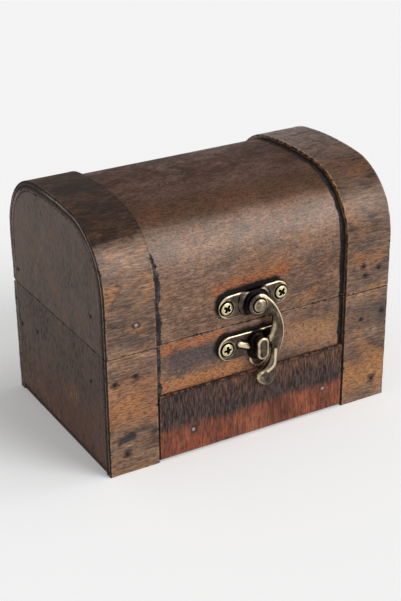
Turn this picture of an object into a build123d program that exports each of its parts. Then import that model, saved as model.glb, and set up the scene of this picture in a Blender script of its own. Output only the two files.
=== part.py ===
from build123d import *
from math import cos, radians, sin, tan
import os

# Treasure chest box: arched lid on a back hinge, raised end straps, skirt board,
# and a swinging hook latch. Millimetres, +X along the chest, front towards -Y, +Z up.
# The origin is the middle of the footprint, on the surface that the chest stands on.

# The chest, measured over its straps
chest_length = 120.0
chest_depth = 80.0
chest_height = 95.0
seam_height = 47.0
seam_gap = 0.2
shoulder_share = 0.5417
shoulder_angle = 83.0

# Wooden sheets and boards
strap_width = 20.0
strap_thickness = 1.6
shell_thickness = 1.8
glue_line = 0.05
end_thickness = 6.0
board_thickness = 3.6
bottom_thickness = 2.2
bottom_inset = 0.6
rail_thickness = 3.6
rail_height_share = 0.665
skirt_below_seam = 20.0
skirt_lift = 1.0
skirt_thickness = 1.3
skirt_side_gap = 0.25

# Tacks
tack_radius = 0.45
tack_length = 3.0
tack_head_radius = 0.85
tack_head_height = 0.25
tack_fit = 0.02

# Hinges
hinge_inset = 9.0
hinge_width = 16.0
leaf_height = 9.5
leaf_thickness = 0.8
barrel_radius = 1.6
barrel_relief = 0.2
axis_stand_off = 0.6
knuckle_gap = 0.12
hinge_pin_radius = 0.8
hinge_pin_clearance = 0.04
lid_opening = 105.0
stop_margin = 1.0

# Screws of the hinges and of the latch
hinge_screw_head_radius = 1.7
hinge_screw_radius = 0.75
hinge_screw_length = 3.8
hinge_screw_across_share = 0.3
hinge_screw_out_share = 0.64
latch_screw_head_radius = 2.4
latch_screw_radius = 0.95
latch_screw_length = 4.5
screw_fit = 0.02
screw_dome_share = 0.16
cross_length_share = 1.25
cross_width_share = 0.26
cross_depth_share = 0.45

# Latch plate on the lid, fixed a little askew and above the pivot's middle
latch_above_seam = 7.8
latch_plate_lift = 0.5
latch_plate_tilt = 3.0
latch_plate_length = 29.2
latch_plate_height = 9.2
latch_plate_thickness = 1.2
latch_screw_inset = 3.1
boss_radius = 5.7
boss_rise = 1.3
boss_hollow_radius = 3.7
washer_radius = 4.6
washer_thickness = 0.55

# Hook, pivot and catch
hook_thickness = 2.05
hook_ring_radius = 4.4
hook_reach = 11.1
hook_tail = 16.1
hook_running_gap = 0.1
hook_edge_round = 0.45
pivot_radius = 1.5
pivot_clearance = 0.05
pivot_head_radius = 2.5
pivot_head_height = 1.0
pivot_tail_radius = 2.6
pivot_tail_height = 0.8

catch_below_seam = 8.8
catch_plate_shift = -1.1
catch_plate_length = 27.4
catch_plate_height = 9.8
catch_plate_thickness = 1.2
catch_screw_inset = 3.5
catch_lobe_radius = 3.9
catch_lobe_shift = 3.3
catch_lobe_drop = 6.0
catch_rib_length = 5.4
catch_rib_width = 2.9
catch_rib_rise = 1.3
catch_rib_lift = 1.0
catch_rib_tilt = -15.0
catch_rib_gap = 0.1
post_shift = 1.1
post_drop = 0.7
post_neck_width = 3.4
post_neck_height = 7.4
post_head_width = 4.7
post_head_height = 8.7
post_head_thickness = 0.75
post_head_gap = 0.3
post_collar_width = 6.0
post_collar_height = 9.6
post_collar_thickness = 0.8
tenon_radius = 1.4

edge_round = 0.35
overrun = 1.0

# Places of the tacks: across the strap from the chest's end, then up the piece
base_left_tack_shares = [(0.57, 0.82), (0.35, 0.17), (0.155, 0.79)]
base_right_tack_shares = [(0.61, 0.76), (0.125, 0.79), (0.29, 0.18)]
lid_left_tack_shares = [(0.60, 0.51)]
lid_right_tack_shares = [(0.555, 0.32), (0.245, 0.40), (0.605, 0.50)]
back_tack_shares = [(0.30, 0.20), (0.55, 0.80)]
lid_back_tack_shares = [(0.55, 0.50)]
# Places of the tacks of the skirt: along it from its middle, then up its height
skirt_tack_shares = [(-0.65, 0.36), (0.78, 0.38)]
# Places of the tacks of the ends: along the half depth, then up the piece
base_end_tack_shares = [(-0.67, 0.71), (0.48, 0.70), (0.86, 0.64)]
lid_end_tack_shares = [(-0.73, 0.60), (0.86, 0.28)]

# The hook's edges from the pivot: along the reach, then up or down the drop
hook_outer_shares = [
    (0.26, 0.09), (0.68, -0.075), (0.93, -0.255), (1.0, -0.41), (0.955, -0.53),
    (0.775, -0.695), (0.645, -0.84), (0.575, -0.945), (0.40, -0.998), (0.19, -0.985),
    (-0.03, -0.925), (-0.135, -0.845),
]
hook_inner_shares = [
    (-0.135, -0.845), (-0.06, -0.785), (0.11, -0.765), (0.30, -0.762), (0.46, -0.718),
    (0.55, -0.62), (0.49, -0.53), (0.34, -0.43), (0.42, -0.35), (0.505, -0.27),
    (0.47, -0.19), (0.33, -0.14), (0.20, -0.10),
]

# Sizes and places that follow
half_length = chest_length / 2
half_depth = chest_depth / 2
base_top = seam_height - seam_gap / 2
lid_foot = seam_height + seam_gap / 2
board_face = half_depth - strap_thickness
lid_face = board_face - glue_line
lip_face = board_face - shell_thickness
shell_inset = strap_thickness + glue_line
lid_end_inset = shell_inset + shell_thickness + glue_line
shoulder_radius = (chest_height - seam_height) * shoulder_share
crown_half = half_depth - shoulder_radius
crown_radius = shoulder_radius + crown_half / cos(radians(shoulder_angle))
crown_centre = chest_height - crown_radius
shoulder_height = crown_centre + crown_half * tan(radians(shoulder_angle))
lid_side_height = shoulder_height - lid_foot
end_inner = half_length - end_thickness
strap_inner = half_length - strap_width
rail_height = lid_side_height * rail_height_share
skirt_half = strap_inner - skirt_side_gap
skirt_height = seam_height - skirt_below_seam

hinge_axis = board_face + axis_stand_off
hinge_middle = strap_inner - hinge_inset - hinge_width / 2
knuckle_length = hinge_width / 3
barrel_cut_radius = barrel_radius + barrel_relief
bevel_angle = radians((lid_opening + stop_margin) / 2)
bevel_drop = (half_depth - hinge_axis) * tan(bevel_angle)
bevel_start = hinge_axis + seam_gap / 2 / tan(bevel_angle)

latch_height = seam_height + latch_above_seam
catch_height = seam_height - catch_below_seam
post_height = catch_height - post_drop
hook_drop = latch_height - post_height + hook_tail
latch_plate_face = lid_face + latch_plate_thickness
boss_face = latch_plate_face + boss_rise
hook_back = boss_face + washer_thickness + hook_running_gap
hook_face = hook_back + hook_thickness
pivot_seat = hook_face + pivot_clearance
latch_screw_x = latch_plate_length / 2 - latch_screw_inset
catch_plate_face = board_face + catch_plate_thickness
catch_screw_x = catch_plate_length / 2 - catch_screw_inset
rib_end = post_shift - post_collar_width / 2 - catch_rib_gap
post_neck_length = hook_face + post_head_gap - catch_plate_face

os.makedirs("parts", exist_ok=True)


def keep(piece, name):
    piece.part.label = name
    export_step(piece.part, f"parts/{name}.step")


# The face plane of the chest's left or right end, looking at it from outside
def end_plane(side):
    return Plane(origin=(side * half_length, 0, 0), x_dir=(0, side, 0), z_dir=(side, 0, 0))


# The plane of the front face at a distance from the middle, or of the back face
def wall_plane(side, distance):
    return Plane(origin=(0, side * distance, 0), x_dir=(-side, 0, 0), z_dir=(0, side, 0))


# Places on a plane
def on_plane(plane, places):
    return Locations(*[plane.location * Location((x, y, 0)) for x, y in places])


# A plane parallel to the front, with the pivot as its origin, turned by a tilt
def latch_plane(distance, tilt):
    across = (cos(radians(tilt)), 0, sin(radians(tilt)))
    return Plane(origin=(0, -distance, latch_height), x_dir=across, z_dir=(0, -1, 0))


# Holes in the pieces that tacks or screws are driven into
def drill(plane, places, radius, depth):
    with on_plane(plane, places):
        Hole(radius=radius, depth=depth)


# The arched outline of the lid, drawn inside the straps' outer face by an inset
def arched_outline(inset, foot):
    half = half_depth - inset
    shoulder = shoulder_radius - inset
    Line((-half, foot), (-half, shoulder_height))
    CenterArc((-crown_half, shoulder_height), shoulder, 180, -shoulder_angle)
    CenterArc((0, crown_centre), crown_radius - inset, 180 - shoulder_angle, 2 * shoulder_angle - 180)
    CenterArc((crown_half, shoulder_height), shoulder, shoulder_angle, -shoulder_angle)
    Line((half, shoulder_height), (half, foot))
    Line((half, foot), (-half, foot))


# A bent sheet between two insets of that outline
def bent_sheet(start, width, inset, thickness):
    with BuildSketch(Plane.YZ.offset(start)) as band:
        with BuildLine():
            arched_outline(inset, lid_foot)
        make_face()
        with BuildLine():
            arched_outline(inset + thickness, lid_foot - overrun)
        make_face(mode=Mode.SUBTRACT)
    extrude(band.sketch, amount=width)


# Relief in the wood round both hinge barrels
def relieve_barrels():
    for hinge_x in (-hinge_middle, hinge_middle):
        with BuildSketch(Plane.YZ.offset(hinge_x - hinge_width / 2 - barrel_relief)) as relief:
            with Locations((hinge_axis, seam_height)):
                Circle(barrel_cut_radius)
        extrude(relief.sketch, amount=hinge_width + 2 * barrel_relief, mode=Mode.SUBTRACT)


# A tack with its head's underside on the surface at z = 0
def make_tack():
    with BuildPart() as tack:
        with BuildSketch(Plane.XY):
            Circle(tack_head_radius)
        extrude(amount=tack_head_height)
        fillet(tack.faces().sort_by(Axis.Z)[-1].edges(), tack_head_height * 0.8)
        with BuildSketch(Plane.XY):
            Circle(tack_radius)
        extrude(amount=-tack_length)
    return tack.part


# A countersunk cross-slot screw, with the rim of its head at z = 0
def make_screw(head_radius, radius, length):
    head_depth = head_radius - radius
    dome = head_radius * 2 * screw_dome_share
    with BuildPart() as screw:
        with BuildSketch(Plane.XZ):
            with BuildLine():
                ThreePointArc((0, dome), (head_radius / 2, dome * 0.78), (head_radius, 0))
                Line((head_radius, 0), (radius, -head_depth))
                Line((radius, -head_depth), (radius, radius - length))
                Line((radius, radius - length), (0, -length))
                Line((0, -length), (0, dome))
            make_face()
        revolve(axis=Axis.Z)
        with BuildSketch(Plane.XY.offset(dome + overrun)):
            Rectangle(head_radius * cross_length_share, head_radius * cross_width_share)
            Rectangle(head_radius * cross_width_share, head_radius * cross_length_share)
        extrude(amount=-(dome + overrun + head_depth * cross_depth_share), mode=Mode.SUBTRACT)
    return screw.part


# The seats that such screws need in a plate and in the wood under it
def sink_screws(plane, places, head_radius, radius, length):
    with on_plane(plane, places):
        CounterSinkHole(radius=radius + screw_fit, counter_sink_radius=head_radius + screw_fit,
                        depth=length + screw_fit, counter_sink_angle=90)


def sink_latch_screws(plane, places):
    sink_screws(plane, places, latch_screw_head_radius, latch_screw_radius, latch_screw_length)


def sink_hinge_screws(places):
    sink_screws(leaf_plane, places, hinge_screw_head_radius, hinge_screw_radius, hinge_screw_length)


# A group of tacks or screws, one at each place of a plane
def place_on(plane, places, fastener):
    with on_plane(plane, places):
        add(fastener)


# Places on a strap, from its shares, seen from outside: side -1 is the chest's left
def strap_places(side, shares, foot, height):
    return [(side * (half_length - strap_width * across), foot + height * up) for across, up in shares]


def end_places(side, shares, foot, height):
    return [(side * half_depth * along, foot + height * up) for along, up in shares]


base_front_tacks = strap_places(-1, base_left_tack_shares, 0, seam_height)
base_front_tacks += strap_places(1, base_right_tack_shares, 0, seam_height)
base_back_tacks = strap_places(-1, back_tack_shares, 0, seam_height)
base_back_tacks += strap_places(1, back_tack_shares, 0, seam_height)
lid_front_tacks = strap_places(-1, lid_left_tack_shares, lid_foot, lid_side_height)
lid_front_tacks += strap_places(1, lid_right_tack_shares, lid_foot, lid_side_height)
lid_back_tacks = strap_places(-1, lid_back_tack_shares, lid_foot, lid_side_height)
lid_back_tacks += strap_places(1, lid_back_tack_shares, lid_foot, lid_side_height)
skirt_places = [(skirt_half * along, skirt_height * up) for along, up in skirt_tack_shares]
hinge_screw_x = hinge_width * hinge_screw_across_share
hinge_screw_drop = leaf_height * hinge_screw_out_share
hinge_screw_places = [
    (side * hinge_middle + offset, hinge_screw_drop)
    for side in (-1, 1)
    for offset in (-hinge_screw_x, hinge_screw_x)
]
hinge_base_places = [(x, seam_height - drop) for x, drop in hinge_screw_places]
hinge_lid_places = [(x, seam_height + drop) for x, drop in hinge_screw_places]
latch_screw_places = [(-latch_screw_x, latch_plate_lift), (latch_screw_x, latch_plate_lift)]
catch_screw_places = [
    (catch_plate_shift - catch_screw_x, catch_height),
    (catch_plate_shift + catch_screw_x, catch_height),
]
leaf_plane = wall_plane(1, board_face + leaf_thickness)
tack_hole = tack_radius + tack_fit
tack_hole_depth = tack_length + tack_fit

# Base: the bottom lies between the boards, and the ends stand on it
with BuildPart() as base_bottom:
    with BuildSketch(Plane.XY):
        Rectangle(chest_length - 2 * bottom_inset, 2 * lip_face)
    extrude(amount=bottom_thickness)
keep(base_bottom, "base_bottom")

for side, name in ((-1, "base_left_end"), (1, "base_right_end")):
    with BuildPart() as base_end:
        with BuildSketch(end_plane(side)):
            with Locations((0, (base_top + bottom_thickness) / 2)):
                Rectangle(2 * lip_face, base_top - bottom_thickness)
        extrude(amount=-end_thickness)
        drill(end_plane(side), end_places(side, base_end_tack_shares, 0, seam_height),
              tack_hole, tack_hole_depth)
    keep(base_end, name)


# A wall board, whose lips cover the edges of the ends and of the bottom
def make_board(side):
    with BuildSketch(wall_plane(side, lip_face)) as outer_layer:
        with Locations((0, base_top / 2)):
            Rectangle(chest_length, base_top)
    extrude(outer_layer.sketch, amount=shell_thickness)
    with BuildSketch(wall_plane(side, lip_face)) as inner_layer:
        with Locations((0, (base_top + bottom_thickness) / 2)):
            Rectangle(2 * end_inner, base_top - bottom_thickness)
    extrude(inner_layer.sketch, amount=-(board_thickness - shell_thickness))


with BuildPart() as base_front_board:
    make_board(-1)
    drill(wall_plane(-1, half_depth), base_front_tacks, tack_hole, tack_hole_depth)
    drill(wall_plane(-1, board_face + skirt_thickness), skirt_places, tack_hole, tack_hole_depth)
    sink_latch_screws(wall_plane(-1, catch_plate_face), catch_screw_places)
keep(base_front_board, "base_front_board")

with BuildPart() as base_back_board:
    make_board(1)
    relieve_barrels()
    drill(wall_plane(1, half_depth), base_back_tacks, tack_hole, tack_hole_depth)
    sink_hinge_screws(hinge_base_places)
keep(base_back_board, "base_back_board")

with BuildPart() as front_skirt:
    with BuildSketch(wall_plane(-1, board_face)):
        with Locations((0, (skirt_lift + skirt_height) / 2)):
            Rectangle(2 * skirt_half, skirt_height - skirt_lift)
    extrude(amount=skirt_thickness)
    chamfer(front_skirt.faces().sort_by(Axis.Y)[0].edges(), edge_round)
    drill(wall_plane(-1, board_face + skirt_thickness), skirt_places, tack_hole, tack_hole_depth)
keep(front_skirt, "front_skirt")


# The corner that the back straps lose at the seam, so that the open lid rests on them
def cut_stop_bevel(up):
    outer = half_depth + overrun
    edge = seam_height + up * seam_gap / 2
    beyond = edge - up * overrun
    low = seam_height + up * bevel_drop
    with BuildSketch(Plane.YZ.offset(-half_length - overrun)) as corner:
        with BuildLine():
            Polyline((bevel_start, edge), (half_depth, low), (outer, low), (outer, beyond),
                     (bevel_start, beyond), close=True)
        make_face()
    extrude(corner.sketch, amount=chest_length + 2 * overrun, mode=Mode.SUBTRACT)


# The lower straps, on the boards at both ends
for wall, wall_name in ((-1, "front"), (1, "back")):
    tacks = base_front_tacks if wall < 0 else base_back_tacks
    for side, side_name in ((-1, "left"), (1, "right")):
        with BuildPart() as base_strap:
            with BuildSketch(wall_plane(wall, board_face)):
                with Locations((-wall * side * (half_length - strap_width / 2), base_top / 2)):
                    Rectangle(strap_width, base_top)
            extrude(amount=strap_thickness)
            if wall > 0:
                cut_stop_bevel(-1)
            drill(wall_plane(wall, half_depth), tacks, tack_hole, tack_hole_depth)
        keep(base_strap, f"base_{side_name}_{wall_name}_strap")

# Tacks of the base
tack = make_tack()
with BuildPart() as base_strap_tacks:
    place_on(wall_plane(-1, half_depth), base_front_tacks, tack)
    place_on(wall_plane(1, half_depth), base_back_tacks, tack)
keep(base_strap_tacks, "base_strap_tacks")

with BuildPart() as skirt_tacks:
    place_on(wall_plane(-1, board_face + skirt_thickness), skirt_places, tack)
keep(skirt_tacks, "skirt_tacks")

with BuildPart() as base_end_tacks:
    for side in (-1, 1):
        place_on(end_plane(side), end_places(side, base_end_tack_shares, 0, seam_height), tack)
keep(base_end_tacks, "base_end_tacks")

# Lid: arched ends under a bent shell, with a rail along each wall for the screws
for side, name in ((-1, "lid_left_end"), (1, "lid_right_end")):
    with BuildPart() as lid_end:
        with BuildSketch(end_plane(side)):
            with BuildLine():
                arched_outline(lid_end_inset, lid_foot)
            make_face()
        extrude(amount=-end_thickness)
        drill(end_plane(side), end_places(side, lid_end_tack_shares, lid_foot, lid_side_height),
              tack_hole, tack_hole_depth)
    keep(lid_end, name)

with BuildPart() as lid_shell:
    bent_sheet(-half_length, chest_length, shell_inset, shell_thickness)
    relieve_barrels()
    drill(wall_plane(-1, half_depth), lid_front_tacks, tack_hole, tack_hole_depth)
    drill(wall_plane(1, half_depth), lid_back_tacks, tack_hole, tack_hole_depth)
    sink_latch_screws(latch_plane(latch_plate_face, latch_plate_tilt), latch_screw_places)
    sink_hinge_screws(hinge_lid_places)
keep(lid_shell, "lid_shell")

for side, name in ((-1, "lid_left_strap"), (1, "lid_right_strap")):
    with BuildPart() as lid_strap:
        bent_sheet(min(side * half_length, side * strap_inner), strap_width, 0, strap_thickness)
        cut_stop_bevel(1)
        drill(wall_plane(-1, half_depth), lid_front_tacks, tack_hole, tack_hole_depth)
        drill(wall_plane(1, half_depth), lid_back_tacks, tack_hole, tack_hole_depth)
    keep(lid_strap, name)

for wall, name in ((-1, "lid_front_rail"), (1, "lid_back_rail")):
    with BuildPart() as rail:
        with BuildSketch(wall_plane(wall, half_depth - lid_end_inset)):
            with Locations((0, lid_foot + rail_height / 2)):
                Rectangle(2 * end_inner, rail_height)
        extrude(amount=-rail_thickness)
        if wall < 0:
            sink_latch_screws(latch_plane(latch_plate_face, latch_plate_tilt), latch_screw_places)
        else:
            sink_hinge_screws(hinge_lid_places)
    keep(rail, name)

with BuildPart() as lid_strap_tacks:
    place_on(wall_plane(-1, half_depth), lid_front_tacks, tack)
    place_on(wall_plane(1, half_depth), lid_back_tacks, tack)
keep(lid_strap_tacks, "lid_strap_tacks")

with BuildPart() as lid_end_tacks:
    for side in (-1, 1):
        place_on(end_plane(side), end_places(side, lid_end_tack_shares, lid_foot, lid_side_height), tack)
keep(lid_end_tacks, "lid_end_tacks")


# A hinge leaf: up is 1 for the lid's, -1 for the base's
def make_leaf(hinge_x, up):
    if up > 0:
        knuckles = [(-knuckle_length / 2 + knuckle_gap, knuckle_length - 2 * knuckle_gap)]
        places = [place for place in hinge_lid_places if abs(place[0] + hinge_x) < hinge_width]
    else:
        knuckles = [(-hinge_width / 2, knuckle_length), (hinge_width / 2 - knuckle_length, knuckle_length)]
        places = [place for place in hinge_base_places if abs(place[0] + hinge_x) < hinge_width]
    leaf_bottom = seam_height + up * barrel_cut_radius
    leaf_top = seam_height + up * leaf_height
    with BuildSketch(wall_plane(1, board_face)) as plate:
        with Locations((-hinge_x, (leaf_bottom + leaf_top) / 2)):
            Rectangle(hinge_width, abs(leaf_top - leaf_bottom))
    extrude(plate.sketch, amount=leaf_thickness)
    sink_hinge_screws(places)
    for start, length in knuckles:
        with BuildSketch(Plane.YZ.offset(hinge_x + start)) as knuckle:
            with Locations((hinge_axis, seam_height)):
                Circle(barrel_radius)
            with Locations((board_face + leaf_thickness / 2, (seam_height + leaf_bottom) / 2)):
                Rectangle(leaf_thickness, barrel_cut_radius)
        extrude(knuckle.sketch, amount=length)
    with BuildSketch(Plane.YZ.offset(hinge_x - hinge_width / 2 - overrun)) as bore:
        with Locations((hinge_axis, seam_height)):
            Circle(hinge_pin_radius + hinge_pin_clearance)
    extrude(bore.sketch, amount=hinge_width + 2 * overrun, mode=Mode.SUBTRACT)


for side, side_name in ((-1, "left"), (1, "right")):
    hinge_x = side * hinge_middle
    with BuildPart() as base_leaf:
        make_leaf(hinge_x, -1)
    keep(base_leaf, f"{side_name}_hinge_base_leaf")
    with BuildPart() as lid_leaf:
        make_leaf(hinge_x, 1)
    keep(lid_leaf, f"{side_name}_hinge_lid_leaf")
    with BuildPart() as hinge_pin:
        with BuildSketch(Plane.YZ.offset(hinge_x - hinge_width / 2)):
            with Locations((hinge_axis, seam_height)):
                Circle(hinge_pin_radius)
        extrude(amount=hinge_width)
        chamfer(hinge_pin.edges().filter_by(GeomType.CIRCLE), hinge_pin_radius / 4)
    keep(hinge_pin, f"{side_name}_hinge_pin")

hinge_screw = make_screw(hinge_screw_head_radius, hinge_screw_radius, hinge_screw_length)
with BuildPart() as hinge_base_screws:
    place_on(leaf_plane, hinge_base_places, hinge_screw)
keep(hinge_base_screws, "hinge_base_screws")

with BuildPart() as hinge_lid_screws:
    place_on(leaf_plane, hinge_lid_places, hinge_screw)
keep(hinge_lid_screws, "hinge_lid_screws")

# Latch plate: a stamped plate whose middle is raised, hollow behind, round the pivot
with BuildPart() as latch_plate:
    with BuildSketch(latch_plane(lid_face, latch_plate_tilt)):
        with Locations((0, latch_plate_lift)):
            SlotOverall(latch_plate_length, latch_plate_height)
    extrude(amount=latch_plate_thickness)
    fillet(latch_plate.faces().sort_by(Axis.Y)[0].edges(), edge_round)
    with BuildSketch(latch_plane(lid_face, latch_plate_tilt)):
        with Locations((0, latch_plate_lift)):
            Circle(boss_radius)
            SlotOverall(latch_plate_length, latch_plate_height, mode=Mode.INTERSECT)
    extrude(amount=boss_face - lid_face)
    fillet(latch_plate.faces().sort_by(Axis.Y)[0].edges(), edge_round)
    drill(latch_plane(lid_face + boss_rise, 0), [(0, 0)], boss_hollow_radius, boss_rise + overrun)
    drill(latch_plane(boss_face, 0), [(0, 0)], pivot_radius + screw_fit, boss_face - lid_face + overrun)
    sink_latch_screws(latch_plane(latch_plate_face, latch_plate_tilt), latch_screw_places)
keep(latch_plate, "latch_plate")

latch_screw = make_screw(latch_screw_head_radius, latch_screw_radius, latch_screw_length)
with BuildPart() as latch_plate_screws:
    place_on(latch_plane(latch_plate_face, latch_plate_tilt), latch_screw_places, latch_screw)
keep(latch_plate_screws, "latch_plate_screws")

with BuildPart() as latch_washer:
    with BuildSketch(latch_plane(boss_face, 0)):
        Circle(washer_radius)
        Circle(pivot_radius + pivot_clearance, mode=Mode.SUBTRACT)
    extrude(amount=washer_thickness)
keep(latch_washer, "latch_washer")

# Pivot rivet: shank through hook, washer and plate, its tail closed inside the boss
with BuildPart() as latch_pivot:
    with BuildSketch(latch_plane(pivot_seat, 0)):
        Circle(pivot_head_radius)
    extrude(amount=pivot_head_height)
    fillet(latch_pivot.faces().sort_by(Axis.Y)[0].edges(), pivot_head_height * 0.9)
    with BuildSketch(latch_plane(pivot_seat, 0)):
        Circle(pivot_radius)
    extrude(amount=lid_face + boss_rise - pivot_seat)
    with BuildSketch(latch_plane(lid_face + boss_rise, 0)):
        Circle(pivot_tail_radius)
    extrude(amount=-pivot_tail_height)
keep(latch_pivot, "latch_pivot")


def hook_points(shares):
    return [(hook_reach * across, hook_drop * up) for across, up in shares]


# The swinging hook: an eye on the pivot, a bowed arm, a notch and a thumb tab
with BuildPart() as latch_hook:
    with BuildSketch(latch_plane(hook_back, 0)):
        outer = hook_points(hook_outer_shares)
        inner = hook_points(hook_inner_shares)
        with BuildLine():
            Spline(*outer)
            Spline(*inner)
            Line(inner[-1], outer[0])
        make_face()
        Circle(hook_ring_radius)
        Circle(pivot_radius + pivot_clearance, mode=Mode.SUBTRACT)
    extrude(amount=hook_thickness)
    fillet(latch_hook.faces().sort_by(Axis.Y)[0].edges(), hook_edge_round)
keep(latch_hook, "latch_hook")

# Catch plate with its lobe and rib, and the post that the hook's notch takes
with BuildPart() as catch_plate:
    with BuildSketch(wall_plane(-1, board_face)):
        with Locations((catch_plate_shift, catch_height)):
            SlotOverall(catch_plate_length, catch_plate_height)
        with Locations((catch_plate_shift + catch_lobe_shift, catch_height - catch_lobe_drop)):
            Circle(catch_lobe_radius)
    extrude(amount=catch_plate_thickness)
    fillet(catch_plate.faces().sort_by(Axis.Y)[0].edges(), edge_round)
    with BuildSketch(wall_plane(-1, board_face)):
        with Locations((rib_end - catch_rib_length / 2, post_height + catch_rib_lift)):
            SlotOverall(catch_rib_length, catch_rib_width, rotation=catch_rib_tilt)
    extrude(amount=catch_plate_thickness + catch_rib_rise)
    fillet(catch_plate.faces().sort_by(Axis.Y)[0].edges(), catch_rib_rise * 0.8)
    drill(wall_plane(-1, catch_plate_face), [(post_shift, post_height)], tenon_radius + screw_fit,
          catch_plate_thickness + overrun)
    sink_latch_screws(wall_plane(-1, catch_plate_face), catch_screw_places)
keep(catch_plate, "catch_plate")

with BuildPart() as catch_post:
    with BuildSketch(wall_plane(-1, board_face)):
        with Locations((post_shift, post_height)):
            Circle(tenon_radius)
    extrude(amount=catch_plate_thickness)
    with BuildSketch(wall_plane(-1, catch_plate_face)):
        with Locations((post_shift, post_height)):
            SlotOverall(post_collar_height, post_collar_width, rotation=90)
    extrude(amount=post_collar_thickness)
    with BuildSketch(wall_plane(-1, catch_plate_face)):
        with Locations((post_shift, post_height)):
            SlotOverall(post_neck_height, post_neck_width, rotation=90)
    extrude(amount=post_neck_length)
    with BuildSketch(wall_plane(-1, catch_plate_face + post_neck_length)):
        with Locations((post_shift, post_height)):
            SlotOverall(post_head_height, post_head_width, rotation=90)
    extrude(amount=post_head_thickness)
    fillet(catch_post.faces().sort_by(Axis.Y)[0].edges(), edge_round)
keep(catch_post, "catch_post")

with BuildPart() as catch_plate_screws:
    place_on(wall_plane(-1, catch_plate_face), catch_screw_places, latch_screw)
keep(catch_plate_screws, "catch_plate_screws")
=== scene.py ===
import math
import bpy
import bmesh
import numpy as np
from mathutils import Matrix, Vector


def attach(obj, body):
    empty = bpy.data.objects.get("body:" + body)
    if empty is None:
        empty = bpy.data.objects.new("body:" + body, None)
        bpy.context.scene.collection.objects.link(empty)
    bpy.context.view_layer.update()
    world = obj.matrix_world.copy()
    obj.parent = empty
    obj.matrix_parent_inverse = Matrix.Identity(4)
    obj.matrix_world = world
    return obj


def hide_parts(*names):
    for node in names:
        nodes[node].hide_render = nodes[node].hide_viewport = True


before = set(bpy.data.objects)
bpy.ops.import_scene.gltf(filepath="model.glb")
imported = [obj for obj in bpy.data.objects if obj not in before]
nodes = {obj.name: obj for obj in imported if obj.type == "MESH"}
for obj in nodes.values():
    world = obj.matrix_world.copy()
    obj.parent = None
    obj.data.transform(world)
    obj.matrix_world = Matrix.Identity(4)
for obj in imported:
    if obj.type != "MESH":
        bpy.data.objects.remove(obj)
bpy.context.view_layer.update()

# Treasure chest box. Sizes in the dictionaries are millimetres, x along the chest, z up.
# "out" is the distance in front of the chest's middle, so it is -y.
mm = 0.001


class Look(dict):   # a dictionary with entries that read like look.radius
    __getattr__ = dict.__getitem__


chest = Look(
    end=60, seam=47.0, rim=46.9, strapEdge=40, strapOut=40, sheetOut=38.4, liningOut=36.6, liningEnd=54,
    liningFoot=2.2)


def addObject(name, data):
    made = bpy.data.objects.new(name, data)
    bpy.context.scene.collection.objects.link(made)
    return made


# Materials

class Value:   # what a shader socket gives, to add, subtract and multiply like a number
    def __init__(self, tree, socket):
        self.tree, self.socket = tree, socket

    __add__ = __radd__ = lambda self, other: maths("ADD", self, other)
    __mul__ = __rmul__ = lambda self, other: maths("MULTIPLY", self, other)
    __sub__ = lambda self, other: maths("SUBTRACT", self, other)
    __rsub__ = lambda self, other: maths("SUBTRACT", other, self)
    __abs__ = lambda self: maths("ABSOLUTE", self)


def paint(colour):   # three numbers, 0 to 255, are a colour as a picture shows it, made linear
    if len(colour) == 4:
        return colour
    parts = [part / 255 for part in colour]
    return tuple(c / 12.92 if c <= 0.04045 else ((c + 0.055) / 1.055) ** 2.4 for c in parts) + (1.0,)


def feed(tree, socket, value):
    if isinstance(value, Value):
        value = value.socket
    if isinstance(value, bpy.types.NodeSocket):
        tree.links.new(value, socket)
    else:
        socket.default_value = paint(value) if socket.type == "RGBA" else value


def addNode(tree, kind, given=(), **settings):   # a node with its settings and what goes into it
    node = tree.nodes.new(kind)
    for key, value in settings.items():
        setattr(node, key, value)
    for key, value in dict(given).items():
        feed(tree, node.inputs[key], value)
    return node


def fromNode(tree, kind, output, given=(), **settings):
    return Value(tree, addNode(tree, kind, given, **settings).outputs[output])


def maths(operation, first, second=0.0, clamp=False):
    tree = (first if isinstance(first, Value) else second).tree
    return fromNode(tree, "ShaderNodeMath", 0, {0: first, 1: second}, operation=operation, use_clamp=clamp)


def mixed(factor, first, second, blend="MIX"):
    tree = next(part.tree for part in (factor, first, second) if isinstance(part, Value))
    return fromNode(tree, "ShaderNodeMix", "Result", {"Factor": factor, "A": first, "B": second},
                    data_type="RGBA", blend_type=blend)


def tinted(colour, factors):
    return mixed(1.0, colour, factors, "MULTIPLY")


def lay(colour, mask, strength, tint):
    return mixed(maths("MULTIPLY", mask, strength, True), colour, tint)


def eased(value, low, high, start=0.0, end=1.0):   # a soft step between two values
    given = {"Value": value, "From Min": low, "From Max": high, "To Min": start, "To Max": end}
    return fromNode(value.tree, "ShaderNodeMapRange", "Result", given, interpolation_type="SMOOTHSTEP")


def ramp(value, stops):
    node = addNode(value.tree, "ShaderNodeValToRGB", {"Fac": value})
    elements = node.color_ramp.elements
    while len(elements) < len(stops):
        elements.new(0.5)
    for element, (place, colour) in zip(elements, stops):
        element.position = place
        element.color = paint(colour)
    return Value(value.tree, node.outputs["Color"])


def placed(tree, scale=(1, 1, 1), shift=(0, 0, 0), turn=(0, 0, 0)):   # object coordinates in mm
    given = {"Vector": fromNode(tree, "ShaderNodeTexCoord", "Object"), "Location": shift,
             "Scale": [part / mm for part in scale], "Rotation": [math.radians(part) for part in turn]}
    return fromNode(tree, "ShaderNodeMapping", "Vector", given)


def split(place, axes="XYZ"):
    node = addNode(place.tree, "ShaderNodeSeparateXYZ", {"Vector": place})
    return [Value(place.tree, node.outputs[axis]) for axis in axes]


def noise(place, size, detail=2.0, roughness=0.5, warp=0.0):   # size of its spots, in mm
    given = {"Vector": place, "Scale": 1 / size, "Detail": detail, "Roughness": roughness, "Distortion": warp}
    return fromNode(place.tree, "ShaderNodeTexNoise", "Fac", given)


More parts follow.
